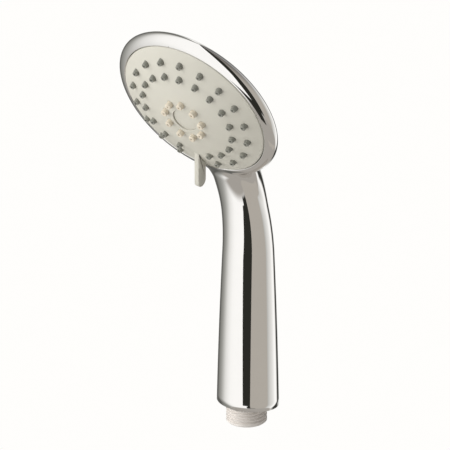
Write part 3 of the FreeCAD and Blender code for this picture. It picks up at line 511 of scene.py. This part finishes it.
def casing_gap(s, line, p):
    """Distance to the whole casing: the lesser of handle a and head b, less
    k h^2 / 4 with h = max(k - |a - b|, 0) / k, where the blend k fades from
    the fillet to almost nothing at the level of the face."""
    along, behind = along_handle(s, line, p)
    width, depth = handle_halves(s, line, along)
    end = line.bent + line.reach - s.ridge_end + HANDLE_END
    handle = np.maximum(oval_gap(p[..., 0], behind, width, depth), along - end)
    head = head_gap(s, p)
    deep = np.clip(-((p - CENTRE) @ AXIS) / BLEND_FADE, 0, 1)
    blend = LEAST_BLEND + (s.fillet - LEAST_BLEND) * deep ** 2 * (3 - 2 * deep)
    close = np.maximum(blend - np.abs(handle - head), 0) / blend
    return np.minimum(handle, head) - close ** 2 * blend / 4


def outward(gap, start, way, reach, rounds=36):
    """Where rays from inside points leave a form, by halving."""
    low, high = np.zeros(way.shape[:-1]), np.full(way.shape[:-1], reach)
    for _ in range(rounds):
        middle = (low + high) / 2
        outside = gap(start + middle[..., None] * way) > 0
        high = np.where(outside, middle, high)
        low = np.where(outside, low, middle)
    return start + low[..., None] * way


def casing_stations(s, line):
    """Cross-sections of the casing from the lower edge to the far rim: the
    middle, the way to the front, the distance down the face, and half sizes.
    Stations crowd where the face's opening starts and ends and at the far
    rim: there the distance is lip cos(a), or falls with the square root."""
    lip = FACE_RADIUS + s.lip_gap
    grip = np.concatenate([np.linspace(0, line.straight, 25),
                           np.linspace(line.straight, line.bent, 34)[1:]])
    neck = np.linspace(line.reach, lip, 9)[1:-1]
    opening = lip * np.cos(np.linspace(0, math.pi, 110))
    far = -RIM_RADIUS + (RIM_RADIUS - lip) * np.linspace(1, 0, 15)[1:] ** 2
    down = np.concatenate([neck, opening, far])

    angle = np.clip((grip - line.straight) / line.radius, 0, TILT)
    bent = grip > line.straight
    grip_y = np.where(bent, line.turn_y + line.radius * np.cos(angle), s.grip_offset)
    grip_z = np.where(bent, line.bend_z + line.radius * np.sin(angle), GRIP_BOTTOM + grip)
    grip_middle = np.stack([0 * grip, grip_y, grip_z], -1)
    grip_front = np.stack([0 * grip, -np.cos(angle), -np.sin(angle)], -1)
    grip_width, grip_depth = handle_halves(s, line, grip)

    share = np.clip((down + RIM_RADIUS) / (2 * RIM_RADIUS), 0, 1)
    depth = s.rim_drop + (s.spine_depth - s.rim_drop) * share
    head_middle = CENTRE - depth[:, None] * AXIS + down[:, None] * DOWN_FACE
    chord = np.sqrt(np.maximum(RIM_RADIUS ** 2 - down ** 2, 0))
    head_width = np.sqrt(s.neck_half_width ** 2 * share + chord ** 2) + 1e-7
    head_depth = np.sqrt((s.neck_half_depth * share) ** 2 + (0.18 * chord) ** 2) + 1e-7

    return SimpleNamespace(
        middle=np.concatenate([grip_middle, head_middle]),
        front=np.concatenate([grip_front, np.broadcast_to(AXIS, head_middle.shape)]),
        down=np.concatenate([np.full(len(grip), 2 * RIM_RADIUS), down]),
        depth=np.concatenate([0 * grip, depth]),
        width=np.concatenate([grip_width, head_width]),
        height=np.concatenate([grip_depth, head_depth]), lip=lip)


def casing_points(s, columns=260):
    """The casing as one grid: each section is cut by rays from its middle at
    the angles of (a cos t, b sin t).  A closed section starts and ends at its
    front, t = 90 degrees, and one that crosses the face's opening at the lip.
    With u from -1 to 1 across a row, the share of the way is
    (1 + sign(u) |u|^0.6) / 2, so columns crowd towards both ends, where the
    bezel turns fast."""
    line = handle_line(s)
    at = casing_stations(s, line)

    def gap(p):
        return casing_gap(s, line, p)

    half = np.sqrt(np.maximum(at.lip ** 2 - at.down ** 2, 0))
    is_open = np.abs(at.down) <= at.lip
    low_lip = (CENTRE + half[:, None] * ACROSS + at.down[:, None] * DOWN_FACE
               - LIP_DIP * AXIS)
    lip_spot = outward(gap, low_lip, np.broadcast_to(AXIS, low_lip.shape), LIP_SEARCH)
    rise = (lip_spot - CENTRE) @ AXIS + at.depth
    start = np.where(is_open, np.arctan2(rise / at.height, half / at.width), math.pi / 2)
    even = np.linspace(-1, 1, columns)[None, :]
    share = (1 + np.sign(even) * np.abs(even) ** 0.6) / 2
    angle = start[:, None] - (math.pi + 2 * start[:, None]) * share
    across = at.width[:, None] * np.cos(angle)
    ahead = at.height[:, None] * np.sin(angle)
    way = across[..., None] * ACROSS + ahead[..., None] * at.front[:, None]
    way /= np.linalg.norm(way, axis=-1, keepdims=True)
    return outward(gap, at.middle[:, None], way, CASING_SEARCH)


# ---- pieces ----------------------------------------------------------------

# the silicone stubs, and the inner and outer radius of the mats they stand on
NOZZLE_FORM = {"tip": 1.3 * MM, "bore": 0.58 * MM, "soft": 0.3 * MM, "depth": 2.4 * MM}
JET_FORM = {"tip": 1.62 * MM, "bore": 0.5 * MM, "soft": 0.4 * MM, "depth": 1.8 * MM}
STUB_ROOT = 0.6 * MM
NOZZLE_MAT, JET_MAT = (19.6 * MM, 34.6 * MM), (7.7 * MM, 14.5 * MM)
MAT_NEAR, MAT_FAR = 0.05 * MM, 1.45 * MM


def dome(s, out, radius_less=0.0):
    """Height of the face's sphere at a distance from the axis: it rises by
    `rise` over the face's radius, so R = (a^2 + rise^2) / (2 rise)."""
    radius = (FACE_RADIUS ** 2 + s.rise ** 2) / (2 * s.rise)
    return s.rise - radius + np.sqrt((radius - radius_less) ** 2 - np.square(out))


def dome_line(s, first, last, steps, radius_less=0.0):
    """Outline points along the face's sphere, between two radii."""
    out = np.linspace(first, last, steps)
    return np.stack([out, dome(s, out, radius_less), 0 * out], -1)


def ring_places(radius, count, first, step):
    """Places on a circle about the axis, at angles from the lever."""
    angle = first + step * np.arange(count)
    return np.stack([radius * np.sin(angle), -radius * np.cos(angle), 0 * angle], -1)


def nozzle_places(s):
    """Both rings of nozzles: one gap is left for the lever."""
    step = 2 * math.pi / (s.nozzles + 1)
    return np.concatenate([ring_places(ring, s.nozzles, step, step)
                           for ring in (s.outer_ring, s.inner_ring)])


def jet_places(s):
    """The ring of centre jets, with no jet on the lever's line."""
    step = 2 * math.pi / s.jets
    return ring_places(s.jet_ring, s.jets, step / 2, step)


def on_dome(s, places):
    """The places lifted to the face's dome."""
    out = np.hypot(places[:, 0], places[:, 1])
    return places + np.stack([0 * out, 0 * out, dome(s, out)], -1)


def spout(base, proud, root, tip, bore, soft, depth, steps=28):
    """A nozzle as a closed lathe form: a tapered stub from `root` below the
    face to `proud` above it, its edge rounded by `soft`, with a blind bore."""
    outline = rounded([
        (0, proud - depth, 0), (bore, proud - depth, 0), (bore, proud, 0.1 * MM),
        (tip, proud, soft), (base, 0, 0), (base, -root, 0), (0, -root, 0)])
    return lathe(outline, steps)


def drilled(piece, points, faces):
    """Cuts closed forms out of a piece for good."""
    cutter = new_object("cutter", points.tolist(), faces.tolist())
    weld(cutter.data)
    boolean = piece.modifiers.new("holes", "BOOLEAN")
    boolean.object = cutter
    boolean.solver = "EXACT"
    bpy.context.view_layer.update()
    evaluated = piece.evaluated_get(bpy.context.evaluated_depsgraph_get())
    cut_mesh = bpy.data.meshes.new_from_object(evaluated)
    piece.modifiers.clear()
    bpy.data.objects.remove(cutter)
    name = piece.data.name
    piece.data = cut_mesh
    piece.data.name = name
    piece.data.set_sharp_from_angle(angle=math.radians(35))


class ShowerCasing(bpy.types.Operator):
    """Handle and head: one chromed moulding, hollow, open at the face and at its lower edge."""

    bl_idname = "shower.casing"
    bl_label = "Casing"

    def execute(self, context):
        s = context.scene.shower_casing
        points = casing_points(s)
        rows, columns = points.shape[:2]
        casing = add_piece("chromed_casing", points.reshape(-1, 3), grid_faces(rows, columns),
                           CASING,
                           plated_chrome(context.scene.shower_colours.chrome),
                           ["handle_shell"], crease=60)
        wall = casing.modifiers.new("wall", "SOLIDIFY")
        wall.thickness = s.wall
        wall.offset = -1
        return {"FINISHED"}


class ShowerFace(bpy.types.Operator):
    """Domed face plate with its rim, holes, cap recess and screw well."""

    bl_idname = "shower.face"
    bl_label = "Face plate"

    def execute(self, context):
        s = context.scene.shower_spray
        hub, boss, well = 4.0 * MM, 7.6 * MM, 5.6 * MM
        well_depth, boss_length, skirt_wall = 2.9 * MM, 1.7 * MM, 1.8 * MM
        cap_seat = s.rise - s.cap_sunk - s.cap_thickness
        floor = cap_seat - well_depth
        boss_end = floor - boss_length
        inner = FACE_RADIUS - skirt_wall
        outline = rounded([
            (hub, boss_end, 0), (boss, boss_end, 0.3 * MM),
            *dome_line(s, boss, inner, 40, s.wall),
            (inner, -s.skirt, 0.2 * MM), (FACE_RADIUS, -s.skirt, 0.3 * MM),
            (FACE_RADIUS, 0, 0.45 * MM),
            *dome_line(s, FACE_RADIUS - 0.9 * MM, s.cap_recess + 0.3 * MM, 60),
            (s.cap_recess, dome(s, s.cap_recess), 0.15 * MM), (s.cap_recess, cap_seat, 0),
            (well, cap_seat, 0), (well, floor, 0), (hub, floor, 0)])
        points, faces = lathe(outline, 160)
        finish = moulded_plastic("satin moulded ABS", context.scene.shower_colours.face)
        face = add_piece("spray_face_plate", in_head(points, s.lever_angle), faces, SPRAY,
                         finish, ["face_plate"])
        holes = []
        for places, radius in ((nozzle_places(s), s.nozzle_radius), (jet_places(s), s.jet_radius)):
            wide = radius + s.hole_gap
            low, high = 0.3 * MM if radius < s.jet_radius else floor, s.rise + 3 * MM
            pin = lathe(np.array([(0, low), (wide, low), (wide, high), (0, high)]), 40)
            holes.append(repeated(*pin, places))
        cutters, cutter_faces = joined(*holes)
        drilled(face, in_head(cutters, s.lever_angle), cutter_faces)
        return {"FINISHED"}


def mat_form(s, inner, outer):
    """A ring of silicone sheet 1.4 mm thick that lies against the inside of
    the dome, as a closed lathe form."""
    near, far = s.wall + MAT_NEAR, s.wall + MAT_FAR
    outline = np.concatenate([dome_line(s, inner, outer, 20, far),
                              dome_line(s, outer, inner, 20, near)])[:, :2]
    return lathe(outline, 120)


class ShowerNozzles(bpy.types.Operator):
    """Grey silicone mat with its two rings of nozzles."""

    bl_idname = "shower.nozzles"
    bl_label = "Nozzles"

    def execute(self, context):
        s = context.scene.shower_spray
        form = spout(s.nozzle_radius, s.nozzle_proud, s.wall + STUB_ROOT, **NOZZLE_FORM)
        points, faces = joined(mat_form(s, *NOZZLE_MAT),
                               repeated(*form, on_dome(s, nozzle_places(s))))
        finish = moulded_rubber("grey silicone rubber", context.scene.shower_colours.nozzle, 0.5)
        add_piece("spray_nozzles", in_head(points, s.lever_angle), faces, SPRAY,
                  finish, ["nozzle_mat"], crease=50)
        return {"FINISHED"}


class ShowerJets(bpy.types.Operator):
    """Cream silicone mat with its ring of centre jets."""

    bl_idname = "shower.jets"
    bl_label = "Centre jets"

    def execute(self, context):
        s = context.scene.shower_spray
        form = spout(s.jet_radius, s.jet_proud, s.wall + STUB_ROOT, **JET_FORM)
        points, faces = joined(mat_form(s, *JET_MAT),
                               repeated(*form, on_dome(s, jet_places(s))))
        finish = moulded_rubber("cream silicone rubber", context.scene.shower_colours.jet, 0.5)
        add_piece("centre_jets", in_head(points, s.lever_angle), faces, SPRAY,
                  finish, ["jet_mat"], crease=50)
        return {"FINISHED"}


class ShowerCap(bpy.types.Operator):
    """Flat snap-in disc over the pivot screw."""

    bl_idname = "shower.cap"
    bl_label = "Centre cap"

    def execute(self, context):
        s = context.scene.shower_spray
        top = s.rise - s.cap_sunk
        edge = s.cap_recess - 0.12 * MM
        # the disc lies a hair above its seat, and its top falls a little outwards
        seat = top - s.cap_thickness + 0.02 * MM
        outline = rounded([(0, seat, 0), (edge, seat, 0), (edge, top - 0.25 * MM, 0.25 * MM),
                           (edge * 0.6, top - 0.05 * MM, 2 * MM), (0, top, 0)])
        points, faces = lathe(outline, 96)
        finish = moulded_plastic("satin moulded ABS cap", context.scene.shower_colours.face)
        add_piece("snap_cap", in_head(points, s.lever_angle), faces, SPRAY,
                  finish, ["centre_cap"])
        return {"FINISHED"}


class ShowerLever(bpy.types.Operator):
    """Selector bar that stands on the dome and reaches out over the bezel."""

    bl_idname = "shower.lever"
    bl_label = "Selector lever"

    def execute(self, context):
        s = context.scene.shower_spray
        seat = dome_line(s, s.lever_root, s.lever_heel, 10, -0.03 * MM)[:, :2]
        # the nose is a half circle about a spot above the bezel
        swing = s.lever_lift + np.linspace(-math.pi / 2, math.pi / 2, 20)
        nose = np.stack([s.lever_reach + s.lever_depth / 2 * np.cos(swing),
                         s.lever_rise + s.lever_depth / 2 * np.sin(swing)], -1)
        outline = np.concatenate([seat, nose])
        ahead = np.roll(outline, -1, 0) - np.roll(outline, 1, 0)
        ahead /= np.linalg.norm(ahead, axis=1, keepdims=True)
        inwards = np.stack([-ahead[:, 1], ahead[:, 0]], -1)
        # the bar's edges are rounded by a quarter circle on each side
        soft, half = 0.5 * MM, s.lever_thickness / 2
        turn = np.linspace(0, math.pi / 2, 6)
        side = np.concatenate([-(half - soft + soft * np.cos(turn)),
                               (half - soft + soft * np.cos(turn[::-1]))])
        inset = np.concatenate([soft * (1 - np.sin(turn)), soft * (1 - np.sin(turn[::-1]))])
        line = outline[None] + inset[:, None, None] * inwards[None]
        points = np.stack([np.broadcast_to(side[:, None], line.shape[:2]), -line[..., 0],
                           line[..., 1]], -1)
        count = len(outline)
        faces = grid_faces(len(side), count, False, True).tolist()
        faces += [list(range(count)), list(range((len(side) - 1) * count, len(side) * count))]
        finish = moulded_plastic("satin moulded ABS lever", context.scene.shower_colours.face)
        add_piece("selector_fin", in_head(points.reshape(-1, 3), s.lever_angle), faces, SPRAY,
                  finish, ["selector_lever"])
        return {"FINISHED"}


class ShowerInlet(bpy.types.Operator):
    """Threaded inlet with its plate in the handle, spigot and mouth."""

    bl_idname = "shower.inlet"
    bl_label = "Inlet connector"

    def execute(self, context):
        s = context.scene.shower_casing
        pitch, deep = s.thread_pitch, s.thread_depth
        plate_low, plate_high = GRIP_BOTTOM + 1 * MM, GRIP_BOTTOM + 5 * MM
        thread_top = GRIP_BOTTOM - 0.9 * MM
        plate = (s.grip_half_width - s.wall - 0.3 * MM, s.grip_half_depth - s.wall - 0.3 * MM)
        spigot, spigot_bore, spigot_top = 3.9 * MM, 2.8 * MM, plate_high + 16 * MM
        fade, first_turn, mouth_end = 0.7 * MM, 1.0 * MM, 9 * MM
        levels = np.linspace(thread_top, fade, 110)
        # each ring of the form: half width, half depth, height, share of thread
        thread = np.stack([0 * levels + THREAD_RADIUS, 0 * levels + THREAD_RADIUS, levels,
                           np.clip(np.minimum(levels - first_turn,
                                              thread_top + 0.3 * MM - levels) / fade, 0, 1)], -1)
        neck, bevel, lip = THREAD_RADIUS - 0.8 * MM, THREAD_RADIUS - 0.65 * MM, 0.2 * MM
        rings = np.concatenate([
            [(spigot_bore, spigot_bore, spigot_top, 0), (spigot, spigot, spigot_top, 0),
             (spigot, spigot, plate_high, 0), (*plate, plate_high, 0), (*plate, plate_low, 0),
             (neck, neck, plate_low, 0), (neck, neck, thread_top, 0)],
            thread,
            [(bevel, bevel, 0.05 * MM, 0), (neck, neck, 0, 0),
             (s.inlet_bore + lip, s.inlet_bore + lip, 0, 0),
             (s.inlet_bore, s.inlet_bore, lip, 0), (s.inlet_bore, s.inlet_bore, mouth_end, 0),
             (spigot_bore, spigot_bore, mouth_end, 0)]])
        angle = np.linspace(0, 2 * math.pi, 120, endpoint=False)
        # a rounded thread: the radius falls by deep (1 - cos p) / 2 with
        # the turn p = 2 pi (z / pitch) - angle
        turn = 2 * math.pi * rings[:, 2:3] / pitch - angle
        fall = deep * rings[:, 3:4] * (1 - np.cos(turn)) / 2
        shift = np.where(rings[:, 2:3] > GRIP_BOTTOM, s.grip_offset, 0)
        points = np.stack(np.broadcast_arrays(
            (rings[:, :1] - fall) * np.cos(angle), (rings[:, 1:2] - fall) * np.sin(angle) + shift,
            rings[:, 2:3]), -1)
        finish = moulded_plastic("light grey moulded acetal", context.scene.shower_colours.inlet,
                                 0.4, 0.5, 1.48)
        add_piece("threaded_inlet", points.reshape(-1, 3), grid_faces(len(rings), 120, True, True),
                  CASING, finish, ["inlet_connector"], crease=75)
        return {"FINISHED"}


class ShowerInside(bpy.types.Operator):
    """Finishes of the pieces inside, which keep their own meshes."""

    bl_idname = "shower.inside"
    bl_label = "Inner pieces"

    def execute(self, context):
        finishes = {
            "white_plastic": moulded_plastic("natural acetal", linear("#E4E3DE"), 0.4, 0.5),
            "grey_plastic": moulded_plastic("grey moulded ABS", linear("#A9A5A0"), 0.45, 0.5),
            "black_rubber": moulded_rubber("black nitrile rubber", linear("#1D1D1C"), 0.6),
            "steel": turned_steel(),
        }
        slots = {row["node"]: row["material_slot"] for row in frame["record"]["subparts"]}
        for name, node in frame["nodes"].items():
            if node.hide_render:
                continue
            node.data.materials.clear()
            node.data.materials.append(finishes[slots[name]])
        return {"FINISHED"}


# ---- stage -----------------------------------------------------------------

VIEW_AZIMUTH, VIEW_ELEVATION = math.radians(37.52), math.radians(20.0)
VIEW_DISTANCE, VIEW_LENS = 1.2, 193.1
AIM_ASIDE, AIM_HEIGHT = -0.01105, 0.10605
# painted reflection: greys of the dark flag, the warm card and the low zone, which only mirrors
# see, and the light they give
PAINTED_REFLECTION_BLACK, PAINTED_REFLECTION_WARM_GREY, PAINTED_REFLECTION_LOW_GREY = "#2B2B27", "#AEA9A2", "#A39F9A"
STUDIO_GAIN = 1.15
# right edge of the painted dark reflection on the chrome
DARK_REFLECTION_RIGHT = 43.5   # bearing of the tall flag's right edge, degrees


def add_camera():
    """A long lens at the usual three-quarter view, from a little above."""
    side = Vector((math.cos(VIEW_AZIMUTH), math.sin(VIEW_AZIMUTH), 0))
    back = Vector((math.sin(VIEW_AZIMUTH) * math.cos(VIEW_ELEVATION),
                   -math.cos(VIEW_AZIMUTH) * math.cos(VIEW_ELEVATION), math.sin(VIEW_ELEVATION)))
    camera = bpy.data.objects.new("camera", bpy.data.cameras.new("camera"))
    camera.data.lens = VIEW_LENS
    camera.data.clip_start, camera.data.clip_end = 0.05, 50
    camera.location = side * AIM_ASIDE + Vector((0, 0, AIM_HEIGHT)) + back * VIEW_DISTANCE
    camera.rotation_mode = "QUATERNION"
    camera.rotation_quaternion = back.to_track_quat("Z", "Y")
    bpy.context.scene.collection.objects.link(camera)
    bpy.context.scene.camera = camera


def add_light(name, azimuth, elevation, distance, size, watts):
    """A square softbox that looks at the head from a bearing (0 is -Y)."""
    turn, rise = math.radians(azimuth), math.radians(elevation)
    away = Vector((math.sin(turn) * math.cos(rise), -math.cos(turn) * math.cos(rise),
                   math.sin(rise)))
    lamp = bpy.data.objects.new(name, bpy.data.lights.new(name, "AREA"))
    lamp.data.size = size
    lamp.data.energy = watts
    lamp.location = Vector((0, 0, 0.15)) + away * distance
    lamp.rotation_mode = "QUATERNION"
    lamp.rotation_quaternion = away.to_track_quat("Z", "Y")
    lamp.visible_glossy = False
    lamp.visible_camera = False
    bpy.context.scene.collection.objects.link(lamp)


# Painted reflection: grey of the studio's walls round the horizon, as the chrome mirrors it and
# nothing else sees it:
# bearing in degrees from -Y towards +X, and the grey's share of white.
PAINTED_REFLECTION_WALLS = [
    (-180, 0.20), (-172, 0.20), (-163, 0.75), (-152, 0.98), (-142, 0.50), (-127, 0.38),
    (-112, 0.35), (-102, 0.50), (-92, 0.56), (-82, 0.64), (-72, 0.76), (-62, 0.88), (-52, 0.94),
    (-42, 0.98), (-30, 0.99), (90, 0.99), (97, 0.70), (105, 0.78), (113, 0.83), (125, 0.88),
    (135, 0.93), (145, 0.99), (159, 0.99), (167, 0.55), (172, 0.20), (180, 0.20)]


def painted_reflection_studio(tree, way):
    """Painted reflection for the chrome, seen only by mirror rays: soft walls whose grey changes
    with the bearing, a tall dark flag in front, and an even grey floor zone."""
    parts = add_node(tree, "ShaderNodeSeparateXYZ", {"Vector": way}).outputs

    def maths(kind, first, second=0.0, third=0.0):
        node = add_node(tree, "ShaderNodeMath", {0: first, 1: second, 2: third}, operation=kind)
        return node.outputs["Value"]

    bearing = maths("ARCTAN2", parts["X"], maths("MULTIPLY", parts["Y"], -1.0))
    bearing = maths("MULTIPLY", bearing, 180 / math.pi)
    height = maths("MULTIPLY", maths("ARCSINE", parts["Z"]), 180 / math.pi)
    place = maths("MULTIPLY_ADD", bearing, 1 / 360, 0.5)
    ramp = add_node(tree, "ShaderNodeValToRGB", {"Fac": place})
    stops = ramp.color_ramp.elements
    while len(stops) > 1:
        stops.remove(stops[-1])
    for row, (degrees, grey) in enumerate(PAINTED_REFLECTION_WALLS):
        stop = stops[0] if row == 0 else stops.new(degrees / 360 + 0.5)
        stop.position = degrees / 360 + 0.5
        level = ((grey + 0.055) / 1.055) ** 2.4
        stop.color = (level, level, level * (0.88 + 0.12 * grey), 1)

    def soft_step(value, low, high):
        node = add_node(tree, "ShaderNodeMapRange", {"Value": value, "From Min": low,
                                                     "From Max": high},
                        interpolation_type="SMOOTHSTEP")
        return node.outputs["Result"]

    # painted dark reflection of a tall flag, a little wider to the left low down
    low = soft_step(height, -52, -12)
    after_left = soft_step(maths("SUBTRACT", bearing, maths("MULTIPLY_ADD", low, 11.0, 7.5)),
                           -0.8, 0.8)
    past_right = soft_step(maths("SUBTRACT", bearing, DARK_REFLECTION_RIGHT), -0.8, 0.8)
    flag = maths("MULTIPLY", maths("MULTIPLY", after_left, maths("SUBTRACT", 1.0, past_right)),
                  soft_step(height, -58, -55))
    # beyond it the painted reflection of the walls is a warm grey, and darker higher up
    beside = maths("MULTIPLY", past_right, soft_step(maths("SUBTRACT", 98.0, bearing), 0, 4))
    walls = mixed(tree, beside, ramp.outputs["Color"], (*linear(PAINTED_REFLECTION_WARM_GREY), 1))
    high = ranged(tree, height, 0.0, 1.0, **{"From Min": -4.0, "From Max": 46.0})
    dark = mixed(tree, maths("MULTIPLY", past_right, high), walls, (0.4, 0.4, 0.41, 1),
                 blend_type="MULTIPLY")
    # below it a painted grey reflection zone, standing in for the floor that mirrors don't see
    walls = mixed(tree, soft_step(height, -60, -52), (*linear(PAINTED_REFLECTION_LOW_GREY), 1), dark)
    return mixed(tree, flag, walls, (*linear(PAINTED_REFLECTION_BLACK), 1))


def painted_reflection_glow(name, code):
    """A painted reflection: the even light that a studio card would throw back, as a glow that
    only mirrors see, with a brushed tone of about 40 mm."""
    made, tree, place = start_material(name)
    tint = tinted(tree, mottle(tree, place, 40, 1.0), linear(code), 0.98, 1.02)
    finish_material(tree, add_node(tree, "ShaderNodeEmission", {"Color": tint,
                                                                "Strength": STUDIO_GAIN}))
    return made


def add_reflection_card(name, radius, low, high, lower, upper, finish):
    """A glowing card of painted reflection bent round the handle, which only mirrors see: with w
    the share of its height, the point at share u across it has the bearing p = a(w) + (b(w) -
    a(w)) u and stands at (R sin p, -R cos p, z)."""
    rows, columns = 24, 40
    rise, across = np.meshgrid(np.linspace(0, 1, rows), np.linspace(0, 1, columns), indexing="ij")
    start = np.radians(lower[0] + (upper[0] - lower[0]) * rise)
    end = np.radians(lower[1] + (upper[1] - lower[1]) * rise)
    bearing = start + (end - start) * across
    points = np.stack([radius * np.sin(bearing), -radius * np.cos(bearing),
                       low + (high - low) * rise], -1)
    card = new_object(name, points.reshape(-1, 3).tolist(), grid_faces(rows, columns).tolist())
    card.data.shade_smooth()
    card.data.materials.append(finish)
    card.visible_camera = False
    card.visible_diffuse = False
    card.visible_shadow = False


def add_world(rgb):
    """A pale room: plain to the eye, even for matt surfaces, and for mirrors alone a painted
    reflection of the studio's soft walls."""
    world = bpy.data.worlds.new("studio")
    world.use_nodes = True
    tree = world.node_tree
    tree.nodes.clear()
    way = add_node(tree, "ShaderNodeTexCoord").outputs["Generated"]
    path = add_node(tree, "ShaderNodeLightPath").outputs
    plain = add_node(tree, "ShaderNodeBackground", {"Color": (*rgb, 1), "Strength": 1.0})
    even = add_node(tree, "ShaderNodeBackground", {"Color": (*linear("#F4F3F1"), 1),
                                                   "Strength": 0.42})
    # the painted reflection, which only glossy rays see and which lights nothing else
    mirror = add_node(tree, "ShaderNodeBackground", {"Color": painted_reflection_studio(tree, way),
                                                     "Strength": STUDIO_GAIN})
    lit = either(tree, path["Is Glossy Ray"], even, mirror)
    seen = either(tree, path["Is Camera Ray"], lit, plain)
    add_node(tree, "ShaderNodeOutputWorld", {"Surface": seen.outputs[0]})
    bpy.context.scene.world = world


def painted_floor(rgb):
    """Matt studio paint with a roller texture of about 30 mm."""
    made, tree, place = start_material("matt studio paint")
    tint = tinted(tree, mottle(tree, place, 30, 2.0), rgb, 0.995, 1.0)
    paint = add_node(tree, "ShaderNodeBsdfPrincipled", {"Base Color": tint, "Roughness": 0.9})
    # the camera sees the floor evenly lit, as pale as the room behind it
    pale = add_node(tree, "ShaderNodeEmission", {"Color": tint})
    seen = add_node(tree, "ShaderNodeLightPath").outputs["Is Camera Ray"]
    finish_material(tree, either(tree, seen, paint, pale))
    return made


class ShowerStage(bpy.types.Operator):
    """Pale floor, soft light, studio walls and the camera."""

    bl_idname = "shower.stage"
    bl_label = "Stage"

    def execute(self, context):
        rgb = context.scene.shower_colours.floor
        reach, level = 8.0, -0.25
        floor = new_object("studio_floor", [(-reach, -reach, level), (reach, -reach, level),
                                            (reach, reach, level), (-reach, reach, level)],
                           [(0, 1, 2, 3)])
        floor.data.materials.append(painted_floor(rgb))
        # mirrors don't see the floor; the painted grey reflection zone stands in its place
        floor.visible_glossy = False
        add_light("key", -35, 10, 1.2, 1.8, 21.5)
        # glowing cards of painted reflection, which only mirrors see, for the dark and grey bands
        # on the handle
        add_reflection_card("dark_reflection_card", 150 * MM, -50 * MM, 78 * MM, (3, 32), (-8, 32),
                 painted_reflection_glow("painted dark reflection card", PAINTED_REFLECTION_BLACK))
        add_reflection_card("grey_reflection_card", 60 * MM, -45 * MM, 106 * MM, (28, 91), (29, 91),
                 painted_reflection_glow("painted warm grey reflection card", PAINTED_REFLECTION_WARM_GREY))
        add_world(rgb)
        add_camera()
        context.scene.view_settings.view_transform = "Standard"
        return {"FINISHED"}


class ShowerPanel(bpy.types.Panel):
    """Lists the sizes, the colours and the pieces."""

    bl_idname = "VIEW3D_PT_shower"
    bl_label = "Handheld shower head"
    bl_space_type = "VIEW_3D"
    bl_region_type = "UI"
    bl_category = "Shower"

    def draw(self, context):
        for group in (context.scene.shower_casing, context.scene.shower_spray,
                      context.scene.shower_colours):
            box = self.layout.box()
            for name in group.__annotations__:
                box.prop(group, name)
        for step in OPERATORS:
            self.layout.operator(step.bl_idname)


GROUPS = (ShowerCasingSizes, ShowerSpraySizes, ShowerColours)
OPERATORS = (ShowerCasing, ShowerFace, ShowerNozzles, ShowerJets, ShowerCap, ShowerLever,
             ShowerInlet, ShowerInside, ShowerStage)


def register():
    """Makes the groups, operators and panel known to Blender."""
    for group in (*GROUPS, *OPERATORS, ShowerPanel):
        bpy.utils.register_class(group)
    bpy.types.Scene.shower_casing = PointerProperty(type=ShowerCasingSizes)
    bpy.types.Scene.shower_spray = PointerProperty(type=ShowerSpraySizes)
    bpy.types.Scene.shower_colours = PointerProperty(type=ShowerColours)


def unregister():
    """Takes away what register() made known."""
    del bpy.types.Scene.shower_colours
    del bpy.types.Scene.shower_spray
    del bpy.types.Scene.shower_casing
    for group in reversed((*GROUPS, *OPERATORS, ShowerPanel)):
        bpy.utils.unregister_class(group)


def main():
    register()
    bpy.ops.shower.casing()
    bpy.ops.shower.face()
    bpy.ops.shower.nozzles()
    bpy.ops.shower.jets()
    bpy.ops.shower.cap()
    bpy.ops.shower.lever()
    bpy.ops.shower.inlet()
    bpy.ops.shower.inside()
    bpy.ops.shower.stage()


if __name__ == "__main__":
    main()
